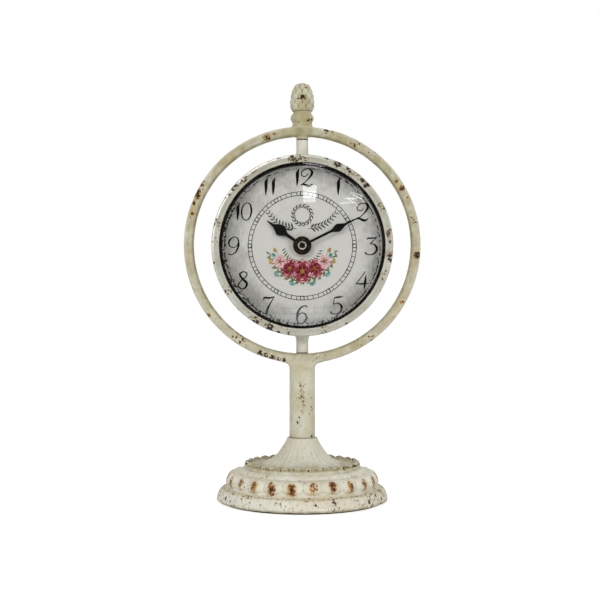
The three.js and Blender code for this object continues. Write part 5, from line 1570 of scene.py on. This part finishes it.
@dataclass
class DialPrint:
    """Numerals, minute track and a garland of plain blossoms, printed on the dial."""

    centre: Place
    front: float
    body: str
    numeral_height: float = 12.5
    numeral_radius: float = 49.0
    track_inner: float = 36.0
    track_outer: float = 38.6
    line: float = 0.55
    lift: float = 0.03
    hour_square: float = 1.3
    side_gap: float = 0.02
    slant: float = 0.05
    hairline: float = 0.022
    swell: float = 1.25
    edge_radius: float = 55.5
    edge_marks: int = 190
    flatness: float = 0.004

    def build(self) -> None:
        """Prints the black parts, then the garland layer by layer."""
        black = Ink("ink_black", "0a0a09", "131211")
        self.printed("print_numerals", self.numerals(), 1, black)
        self.printed("print_minute_track", self.track(), 1, black)
        self.printed("print_edge_flecks", self.edge_flecks(), 1, black)
        garland = Garland()
        layers = (
            ("print_leaves", garland.leaves, "5d6b42", "8b9567"),
            ("print_sprigs", garland.sprigs, "34372f", "55584c"),
            ("print_teal_buds", garland.teal, "3f8581", "8cbfb9"),
            ("print_ochre_buds", garland.ochre, "a9762c", "cfae68"),
            ("print_red_petals", garland.red, "822437", "ab5460"),
            ("print_pink_petals", garland.pink, "cc8f92", "e6c8c4"),
            ("print_petal_veins", garland.veins, "4e101c", "742433"),
            ("print_hearts", garland.hearts, "b8862f", "7a4d1d"),
        )
        for layer, (name, strokes, colour, wash) in enumerate(layers, 1):
            self.printed(name, strokes, layer, Ink(name, colour, wash))

    def printed(self, name: str, strokes: Sequence[Stroke], layer: int, ink: Ink) -> None:
        """Draws strokes as thin raised ink.

        Args:
            name: The piece's name.
            strokes: Strokes as (across, up, width), in millimetres from the dial's centre.
            layer: 1 for what lies on the dial, and more for what is printed over it.
            ink: The ink.
        """
        depth = self.front - layer * self.lift * MM
        curve = bpy.data.curves.new(name, "CURVE")
        curve.dimensions = "3D"
        curve.bevel_depth = MM
        curve.bevel_resolution = 1
        curve.use_fill_caps = True
        for stroke in strokes:
            spline = curve.splines.new("POLY")
            spline.points.add(len(stroke) - 1)
            for point, (across, up, width) in zip(spline.points, stroke):
                point.co = (across * MM, depth, self.centre[2] + up * MM, 1)
                point.radius = max(width, 0.02) / 2
        piece = bpy.data.objects.new(name, curve)
        bpy.context.scene.collection.objects.link(piece)
        pick_only(piece)
        bpy.ops.object.convert(target="MESH")
        with editing(piece):
            bpy.ops.transform.resize(value=(1, self.flatness, 1), center_override=(0, depth, 0))
            bpy.ops.mesh.normals_make_consistent(inside=False)
        settled(piece, self.body, [], ink)

    def numerals(self) -> list[Stroke]:
        """The strokes of the twelve upright numerals."""
        strokes = []
        height = self.numeral_height
        for hour in range(1, 13):
            turn = hour / 12 * TURN
            x, z = self.numeral_radius * math.sin(turn), self.numeral_radius * math.cos(turn)
            digits = str(hour)
            widths = [WIDTH_SHARES.get(digit, WIDTH_SHARE) * height for digit in digits]
            left = x - sum(widths) / 2
            for digit, width in zip(digits, widths):
                for shares in STROKE_SHARES[digit]:
                    points = []
                    for a, b, w in shares:
                        across = left + (a + self.side_gap + self.slant * b) * height
                        wide = (self.hairline + self.swell * w) * height
                        points.append((across, z + (b - 0.5) * height, wide))
                    strokes.append(flowing(points, 6))
                left += width
        return strokes

    def edge_flecks(self) -> list[Stroke]:
        """A broken line of brush flecks inside the dial's edge, thickest at the left and the right."""
        chance = np.random.default_rng(11)
        strokes = []
        for index in range(self.edge_marks):
            turn = (index + chance.uniform(-0.5, 0.5)) / self.edge_marks * TURN
            heavy = 0.55 + 0.45 * abs(math.sin(turn))
            inward = 0 if chance.random() < 0.72 else abs(chance.normal())
            if chance.random() > heavy / (1 + inward):
                continue
            radius = self.edge_radius + 0.14 * chance.normal() - 1.2 * inward
            half, width = chance.uniform(0.01, 0.042) / (1 + 2 * inward), chance.uniform(0.5, 1.3) * heavy
            strokes.append([
                (radius * math.sin(turn + half * a), radius * math.cos(turn + half * a), width * share)
                for a, share in ((-1, 0.1), (-0.4, 0.8), (0.3, 1.0), (1, 0.15))])
        return strokes

    def track(self) -> list[Stroke]:
        """The two circles, the minute lines and a small square at each hour."""
        strokes = [self.circle(radius, 180) for radius in (self.track_inner, self.track_outer)]
        for minute in range(60):
            turn = minute / 60 * TURN
            if minute % 5:
                ends = (self.track_inner, self.track_outer)
                strokes.append([(r * math.sin(turn), r * math.cos(turn), self.line) for r in ends])
                continue
            middle, half = (self.track_inner + self.track_outer) / 2, self.hour_square
            corners = [(-half, -half), (half, -half), (half, half), (-half, half), (-half, -half)]
            strokes.append([self.at(turn, middle, a, b, self.line * 1.6) for a, b in corners])
        return strokes

    @staticmethod
    def at(turn: float, radius: float, across: float, up: float, width: float) -> Place:
        """A point of a mark that stands at a turn and radius and faces outwards."""
        x = (radius + up) * math.sin(turn) + across * math.cos(turn)
        z = (radius + up) * math.cos(turn) - across * math.sin(turn)
        return (x, z, width)

    def circle(self, radius: float, steps: int) -> Stroke:
        """A thin circle."""
        turns = [step / steps * TURN for step in range(steps + 1)]
        return [(radius * math.sin(turn), radius * math.cos(turn), self.line) for turn in turns]


@dataclass
class Garland:
    """A swag of blossoms, buds and leaves in the dial's lower half, with two sprigs and a wreath above.

    Sizes are in millimetres. Rows give degrees clockwise from the dial's top, radius and, for a blossom,
    its size; those of the stem give across, up and width.
    """

    swag: tuple[int, int, int] = (102, 259, 9)
    swag_radius: float = 18.5
    leaf_length: float = 6.6
    blossoms: Rows = (
        (125, 19.5, 5.0), (235, 19.5, 5.0), (151, 18.5, 7.2), (209, 18.5, 7.2), (180, 18.0, 8.6))
    pale_from: float = 40.0
    teal_buds: Rows = ((165, 26.5), (195, 26.5), (138, 26), (222, 26), (109, 20), (251, 20))
    ochre_buds: Rows = ((116, 24), (244, 24), (137, 13.5), (223, 13.5), (99, 18.5), (261, 18.5))
    stem: Rows = ((4.0, 12.2, 0.5), (11, 13.4, 0.45), (18, 17.0, 0.4), (23.5, 23.0, 0.2))
    wreath_height: float = 22.0
    wreath_radius: float = 6.4
    wreath_leaves: int = 16

    def __post_init__(self) -> None:
        """Draws every blossom, bud, leaf and sprig."""
        self.leaves, self.sprigs, self.teal, self.ochre = [], [], [], []
        self.red, self.pink, self.veins, self.hearts = [], [], [], []
        for degrees in range(*self.swag):
            length = self.leaf_length - abs(degrees - 180) / 34
            self.leaf_pair(math.radians(degrees), self.swag_radius, length)
        for degrees, radius, size in self.blossoms:
            self.blossom(math.radians(degrees), radius, size, abs(degrees - 180) > self.pale_from)
        for rows, layer, size in ((self.teal_buds, self.teal, 2.4), (self.ochre_buds, self.ochre, 2.0)):
            for degrees, radius in rows:
                self.bud(math.radians(degrees), radius, layer, size)
        for side in (-1, 1):
            self.sprig(side)
        self.wreath()

    @staticmethod
    def dab(x: float, z: float, turn: float, length: float, width: float) -> Stroke:
        """A brush dab that starts thin at a point, swells and ends round.

        Args:
            x: Across, where it starts.
            z: Up, where it starts.
            turn: Direction, clockwise from upwards.
            length: Its length.
            width: Its greatest width.

        Returns:
            The stroke.
        """
        shares = ((0, 0.12), (0.2, 0.5), (0.45, 0.88), (0.68, 1.0), (0.86, 0.78), (1, 0.25))
        across, up = math.sin(turn), math.cos(turn)
        return [(x + length * a * across, z + length * a * up, width * w) for a, w in shares]

    @staticmethod
    def leaf(x: float, z: float, turn: float, length: float) -> Stroke:
        """A leaf that is pointed at both ends and bends a little."""
        points = []
        for share, width in ((0, 0.05), (0.25, 0.26), (0.5, 0.34), (0.75, 0.22), (1, 0.02)):
            bent = turn + 0.5 * (share - 0.5)
            across, up = length * share * math.sin(bent), length * share * math.cos(bent)
            points.append((x + across, z + up, length * width))
        return flowing(points, 3)

    def leaf_pair(self, turn: float, radius: float, length: float) -> None:
        """A leaf on each side of the swag's line, and a stretch of its stem."""
        for reach, lean, size in ((4.4, 0.55, 1.0), (4.4, -0.7, 0.9), (-3.6, math.pi - 0.55, 0.8)):
            x, z = (radius + reach) * math.sin(turn), (radius + reach) * math.cos(turn)
            self.leaves.append(self.leaf(x, z, turn + lean, length * size))
        turns = (turn - 0.08, turn, turn + 0.08)
        self.sprigs.append([(radius * math.sin(a), radius * math.cos(a), 0.3) for a in turns])

    def blossom(self, turn: float, radius: float, size: float, pale: bool) -> None:
        """Five petals with their veins and a heart."""
        x, z = radius * math.sin(turn), radius * math.cos(turn)
        for petal in range(5):
            way = turn + petal / 5 * TURN
            under, over = (self.pink, self.pink) if pale else (self.red, self.pink)
            under.append(self.dab(x, z, way, size, size * 0.95))
            if not pale:
                for share, half in ((0.88, 0.32), (0.68, 0.24)):
                    over.append(self.arc(x, z, size * share, way, half, size * 0.12))
                self.veins.append(self.dab(x, z, way, size * 0.46, size * 0.3))
                self.veins.append(self.arc(x, z, size * 0.5, way + 0.3, 0.45, size * 0.09))
                self.veins.append(self.arc(x, z, size * 0.96, way + 0.63, 0.16, size * 0.1))
            for lean in (-0.22, 0, 0.22):
                self.veins.append([
                    (x + size * a * math.sin(way + lean), z + size * a * math.cos(way + lean), w)
                    for a, w in ((0.16, 0.34), (0.4, 0.2), (0.62, 0.06))])
        for mark in range(6):
            way = mark / 6 * TURN
            self.hearts.append(self.dab(x, z, way, size * 0.24, size * 0.14))

    @staticmethod
    def arc(x: float, z: float, radius: float, way: float, half: float, width: float) -> Stroke:
        """A thin bow round a point, widest in its middle."""
        points = []
        for step in (-1, -0.6, -0.2, 0.2, 0.6, 1):
            turn = way + half * step
            across, up = radius * math.sin(turn), radius * math.cos(turn)
            points.append((x + across, z + up, width * (1.1 - abs(step))))
        return points

    def bud(self, turn: float, radius: float, layer: list[Stroke], size: float) -> None:
        """A small bud of three dabs."""
        x, z = radius * math.sin(turn), radius * math.cos(turn)
        for lean in (-0.7, 0, 0.7):
            layer.append(self.dab(x, z, turn + lean, size * 1.25, size * 0.85))

    def sprig(self, side: int) -> None:
        """A dark sprig in the upper half, with paired leaves along a rising stem."""
        stem = flowing([(side * across, up, width) for across, up, width in self.stem], 6)
        self.sprigs.append(stem)
        for index in range(2, len(stem), 2):
            x, z = stem[index][:2]
            along = side * (1.35 - index * 0.035)
            for lean in (-0.8, 0.8):
                self.sprigs.append(self.leaf(x, z, along + lean, 4.6 - index * 0.1))

    def wreath(self) -> None:
        """A small round wreath of leaves over the hands' hub."""
        for index in range(self.wreath_leaves):
            turn = index / self.wreath_leaves * TURN
            x = self.wreath_radius * math.sin(turn)
            z = self.wreath_height + self.wreath_radius * math.cos(turn)
            for lean in (0.45, -0.55):
                self.sprigs.append(self.leaf(x, z, turn + math.pi / 2 + lean, 3.3))


# Hands


@dataclass(frozen=True)
class Spade:
    """A spade hand: its names, the time that it shows and its sizes in millimetres from the arbor."""

    name: str
    node: str
    body: str
    degrees: float
    length: float
    blade: float
    half: float
    tall: float
    stem: float
    tip: float
    hub: float
    hole: float

    def outline(self) -> list[Pair]:
        """The hand's outline, drawn upright: stem, blade widening and narrowing again, and tip."""
        stem, half = self.stem, self.half
        shares = (
            (stem, -0.62), (stem * 1.5, -0.46), (half * 0.78, -0.26), (half, -0.02), (half * 0.8, 0.18),
            (stem * 1.6, 0.42), (stem * 0.95, 0.62))
        side = flowing([(across, self.blade + self.tall * share) for across, share in shares], 5)
        tip = [(self.tip, self.length), (-self.tip, self.length)]
        return [(stem, 0), *side, *tip, *[(-across, up) for across, up in reversed(side)], (-stem, 0)]


HOUR_SPADE = Spade(
    "hour_spade", "hour_hand", "hour_set", degrees=305.28, length=30.7, blade=19.2, half=4.1, tall=10,
    stem=1.15, tip=0.35, hub=3.6, hole=2.2)
MINUTE_SPADE = Spade(
    "minute_spade", "minute_hand", "minute_set", degrees=63.61, length=45.4, blade=28.7, half=2.9, tall=9,
    stem=0.9, tip=0.3, hub=3.2, hole=1.1)


@dataclass
class Hands:
    """The two spade hands and what holds them. Profiles run as (radius, depth) in millimetres."""

    centre_z: float
    washer_face: Rows = (
        (1.1, -13.75), (3.6, -13.76), (4.2, -13.74), (4.45, -13.66), (4.62, -13.42), (4.8, -13.2),
        (5.0, -13.16), (5.2, -13.2), (5.34, -13.31), (5.5, -13.35), (6.15, -13.34), (6.42, -13.24),
        (6.58, -13.05), (6.5, -12.82))
    washer_back: Rows = ((1.1, -12.8), (1.1, -13.7))
    dome: Rows = (
        (3.3, -13.7), (3.3, -14.5), (3.15, -15.1), (2.75, -15.62), (2.0, -15.95), (1.0, -16.07),
        (0, -16.1))
    drill: float = 20.0

    def build(self) -> None:
        """Builds both hands, the stepped washer and the cap nut."""
        self.spade(HOUR_SPADE)
        self.spade(MINUTE_SPADE)
        washer = [*flowing(self.washer_face, 3), *self.washer_back]
        self.hub("stepped_washer", "hand_washer", washer, "brass", BRONZE, 96)
        cap = [(0, self.dome[0][1]), *flowing(self.dome, 5)[:-1], self.dome[-1]]
        self.hub("polished_cap", "cap_nut", cap, "polished_nickel", NICKEL, 72)
        dress_node("minute_arbor", BRASS)
        dress_node("hour_wheel", WHITE_PLASTIC)

    def spade(self, hand: Spade) -> None:
        """Cuts out a hand, gives it its hub and hole, and turns it to the time that it shows."""
        low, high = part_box(hand.node)
        piece = cut_out(hand.name, in_mm(hand.outline()), low.y, high.y)
        front, back = low.y / MM, high.y / MM
        disc = in_mm([(0, front), (hand.hub, front), (hand.hub, back), (0, back)])
        blended(piece, turned("hub", disc, Axis.DEPTH, 64), Blend.ADD)
        hole = in_mm([(0, -self.drill), (hand.hole, -self.drill), (hand.hole, 0), (0, 0)])
        blended(piece, turned("drill", hole, Axis.DEPTH, 40), Blend.CUT)
        softened(piece, 0.1 * MM, 2, 50)
        with editing(piece):
            clockwise = -math.radians(hand.degrees)
            bpy.ops.transform.rotate(value=clockwise, orient_axis="Y", center_override=(0, 0, 0))
            bpy.ops.transform.translate(value=(0, 0, self.centre_z))
        settled(piece, hand.body, [hand.node], HAND_BLACK)

    def hub(self, name: str, node: str, line: Rows, slot: str, finish: Finish, steps: int) -> None:
        """Turns a piece of the hub about the hands' axis: the bronze washer or the polished cap nut.

        Args:
            name: The piece's name.
            node: The CAD node that it stands for.
            line: Its profile as (radius, depth), in millimetres.
            slot: Not used.
            finish: Its finish.
            steps: How many steps go round.
        """
        piece = turned(name, in_mm(line), Axis.DEPTH, steps, (0, 0, self.centre_z))
        settled(piece, "minute_set", [node], finish, 60)


# Movement


@dataclass
class Movement:
    """The quartz movement behind the dial, with its train and battery."""

    body: str = "case"
    nub: float = 1.3
    band: float = 14.0
    jacket_edge: float = 6.4

    def build(self) -> None:
        """Rounds the moulded shells, finishes the battery and dresses what lies inside."""
        for node, name, edge, slot, finish, body in (
            ("movement_housing", "movement_shell", 0.35, "black_plastic", BLACK_PLASTIC, self.body),
            ("movement_lid", "movement_back", 0.25, "black_plastic", BLACK_PLASTIC, self.body),
            ("setting_knob", "hand_setting_knob", 0.12, "white_plastic", WHITE_PLASTIC, "setting_knob"),
            ("positive_contact", "positive_plate", 0.08, "steel", STEEL, self.body),
            ("negative_contact", "negative_plate", 0.08, "steel", STEEL, self.body),
            ("dial_nut", "bushing_nut", 0.15, "brass", BRASS, self.body),
            ("dial_washer", "bushing_washer", 0.1, "brass", BRASS, self.body),
        ):
            settled(refined(node, name, edge * MM), body, [node], finish)
        for finish, nodes in (
            (WHITE_PLASTIC, ("middle_plate", "train_bridge", "minute_wheel", "centre_wheel", "third_wheel",
                             "second_wheel", "fifth_wheel", "rotor_pinion")),
            (RUBBER, ("rubber_washer",)),
            (STEEL, ("stator",)),
            (COPPER, ("coil",)),
            (BOARD, ("circuit_board",)),
            (MAGNET, ("rotor_magnet",)),
        ):
            for node in nodes:
                dress_node(node, finish)
        self.battery()

    def battery(self) -> None:
        """The AA cell: a steel jacket rolled over at both ends, a coloured band and the nub."""
        low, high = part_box("battery")
        middle = (low + high) / 2
        radius, end = (high.z - low.z) / 2 / MM, (high.x - low.x) / 2 / MM
        nub, band = end - self.nub, (end - self.band) * MM
        line = [
            (0, -end), (3.6, -end), (3.9, -end + 0.2), (6.6, -end + 0.2), (radius - 0.3, -end),
            (radius, -end + 0.4), (radius, nub - 0.5), (radius - 0.4, nub), (6.2, nub), (5.9, nub - 0.3),
            (3.2, nub - 0.3), (2.75, nub), (2.75, end - 0.2), (2.5, end), (0, end)]
        piece = turned("penlight_cell", in_mm(line), Axis.UPRIGHT, 72)
        with editing(piece):
            bpy.ops.mesh.bisect(plane_co=(0, 0, band), plane_no=(0, 0, 1))
            bpy.ops.mesh.select_all(action="SELECT")
            bpy.ops.transform.rotate(value=-math.pi / 2, orient_axis="Y", center_override=(0, 0, 0))
            bpy.ops.transform.translate(value=middle)
        settled(piece, "battery", ["battery"], JACKET)
        piece.data.materials.append(JACKET_END.material())
        piece.data.materials.append(STEEL.material())
        for face in piece.data.polygons:
            x, around = face.center.x, math.hypot(face.center.y - middle.y, face.center.z - middle.z)
            if around < self.jacket_edge * MM or x > high.x - (self.nub - 0.1) * MM:
                face.material_index = 2
            elif x > middle.x + band:
                face.material_index = 1


# Studio


@dataclass(frozen=True)
class Lamp:
    """A lamp that looks at the clock: place and size in metres, power in watts and roll in degrees."""

    name: str
    at: Place
    size: Pair
    power: float
    mirrored: bool = True
    roll: float = 0.0


LAMPS = (
    Lamp("key", (-0.5, -1.25, 0.78), (0.6, 0.6), 9.3, mirrored=False),
    Lamp("fill", (0.75, -1.15, 0.42), (0.7, 0.7), 5.3, mirrored=False),
    Lamp("rear", (0.4, 1.3, 0.9), (0.8, 0.8), 7.0, mirrored=False),
    Lamp("glint", (0.076, -1.3, 0.764), (0.13, 0.12), 0.24),
    Lamp("streak", (0.483, -1.3, 0.712), (0.14, 0.02), 0.034),
    Lamp("wisp_high", (0.549, -1.3, 0.765), (0.13, 0.014), 0.027, roll=-19),
    Lamp("wisp_low", (0.548, -1.3, 0.735), (0.09, 0.014), 0.023, roll=-32),
    Lamp("curl", (0.598, -1.3, 0.708), (0.014, 0.07), 0.018, roll=24),
)


@dataclass
class Studio:
    """Floor, light and camera."""

    camera_at: Place = (-1.6 * MM, -829.4 * MM, 143.9 * MM)
    lens: float = 69.1
    aim: Place = (0, 0, 0.17)
    ambient: float = 0.5
    floor_share: float = 0.62
    floor_glow: float = 1.35
    floor_size: float = 9.0
    card_size: float = 2.1

    def build(self) -> None:
        """Sets up everything that isn't the clock."""
        self.camera()
        self.floor()
        self.world()
        for lamp in LAMPS:
            self.hang(lamp)
        self.cards()

    def camera(self) -> None:
        """The camera, level in front of the clock."""
        data = bpy.data.cameras.new("camera")
        data.lens, data.sensor_width = self.lens, 36.0
        eye = bpy.data.objects.new("camera", data)
        eye.location, eye.rotation_euler = self.camera_at, (math.pi / 2, 0, 0)
        bpy.context.scene.collection.objects.link(eye)
        bpy.context.scene.camera = eye
        bpy.context.scene.view_settings.view_transform = "Standard"

    def floor(self) -> None:
        """A white floor that keeps the shadow and fades into the background."""
        bpy.ops.mesh.primitive_plane_add(size=self.floor_size, location=(0, 0, -0.2 * MM))
        floor = bpy.context.active_object
        floor.name = "floor"
        recipe = Recipe("floor_white")
        recipe.done(shade("efefef"), 0.9)
        glow = recipe.nodes.new("ShaderNodeEmission")
        blend = recipe.nodes.new("ShaderNodeMixShader")
        seen = self.seen(recipe.nodes, recipe.links)
        recipe.put(recipe.sums("MULTIPLY", seen, self.floor_share), blend.inputs[0])
        glow.inputs["Strength"].default_value = self.floor_glow
        recipe.put(recipe.surface.outputs[0], blend.inputs[1])
        recipe.put(glow.outputs[0], blend.inputs[2])
        recipe.links.new(blend.outputs[0], recipe.nodes["Material Output"].inputs["Surface"])
        floor.data.materials.append(recipe.material)

    @staticmethod
    def seen(nodes: bpy.types.Nodes, links: bpy.types.NodeLinks) -> bpy.types.NodeSocket:
        """1 for what the camera sees, straight or in metal or glass, and 0 for light on the object."""
        path = nodes.new("ShaderNodeLightPath")
        total = path.outputs["Is Camera Ray"]
        for name in ("Is Glossy Ray", "Is Transmission Ray"):
            more = nodes.new("ShaderNodeMath")
            more.operation = "MAXIMUM"
            links.new(total, more.inputs[0])
            links.new(path.outputs[name], more.inputs[1])
            total = more.outputs[0]
        return total

    def world(self) -> None:
        """A white surround that lights softly."""
        world = bpy.data.worlds.new("surround")
        world.use_nodes = True
        nodes, links = world.node_tree.nodes, world.node_tree.links
        sky = nodes["Background"]
        sky.inputs["Color"].default_value = (1, 1, 1, 1)
        level = nodes.new("ShaderNodeMapRange")
        links.new(self.seen(nodes, links), level.inputs["Value"])
        level.inputs["To Min"].default_value = self.ambient
        level.inputs["To Max"].default_value = 1.0
        links.new(level.outputs[0], sky.inputs["Strength"])
        bpy.context.scene.world = world

    def hang(self, lamp: Lamp) -> None:
        """Hangs a lamp and turns it to the clock."""
        data = bpy.data.lights.new(lamp.name, "AREA")
        data.shape = "RECTANGLE"
        data.size, data.size_y = lamp.size
        data.energy = lamp.power
        piece = bpy.data.objects.new(lamp.name, data)
        piece.location = lamp.at
        sight = (Vector(self.aim) - Vector(lamp.at)).to_track_quat("-Z", "Y")
        piece.rotation_euler = (sight @ Quaternion((0, 0, 1), math.radians(lamp.roll))).to_euler()
        piece.visible_glossy = lamp.mirrored
        bpy.context.scene.collection.objects.link(piece)

    def cards(self) -> None:
        """Dark cards behind the camera and on the floor before it, which only metal and glass mirror."""
        recipe = Recipe("card_dark")
        recipe.done(shade("0c0c0c"), 0.9)
        for name, at, lean, stretch in (
            ("card", (0, -1.45, 0.25), math.pi / 2, (1, 1, 2.4)),
            ("low_card", (0, -0.9, 0.3 * MM), 0, (1, 0.55, 1)),
        ):
            bpy.ops.mesh.primitive_plane_add(size=self.card_size, location=at, rotation=(lean, 0, 0))
            card = bpy.context.active_object
            bpy.ops.transform.resize(value=stretch)
            card.name = name
            card.data.materials.append(recipe.material)
            for rays in ("camera", "diffuse", "shadow", "transmission"):
                setattr(card, f"visible_{rays}", False)


def main() -> None:
    """Builds the studio and the clock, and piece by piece."""
    logging.basicConfig(level=logging.INFO, format="%(name)s: %(message)s")
    for other in bpy.context.selected_objects:
        other.select_set(False)
    Studio().build()
    for part in (Foot(), Flare(), Casting(), Finial()):
        part.build()
    for node in ("tie_rod", "upper_pivot_rod", "base_nut", "base_washer"):
        dress_node(node, STEEL)
    case = Case()
    case.build()
    Movement().build()
    Hands(case.centre[2]).build()


if __name__ == "__main__":
    main()
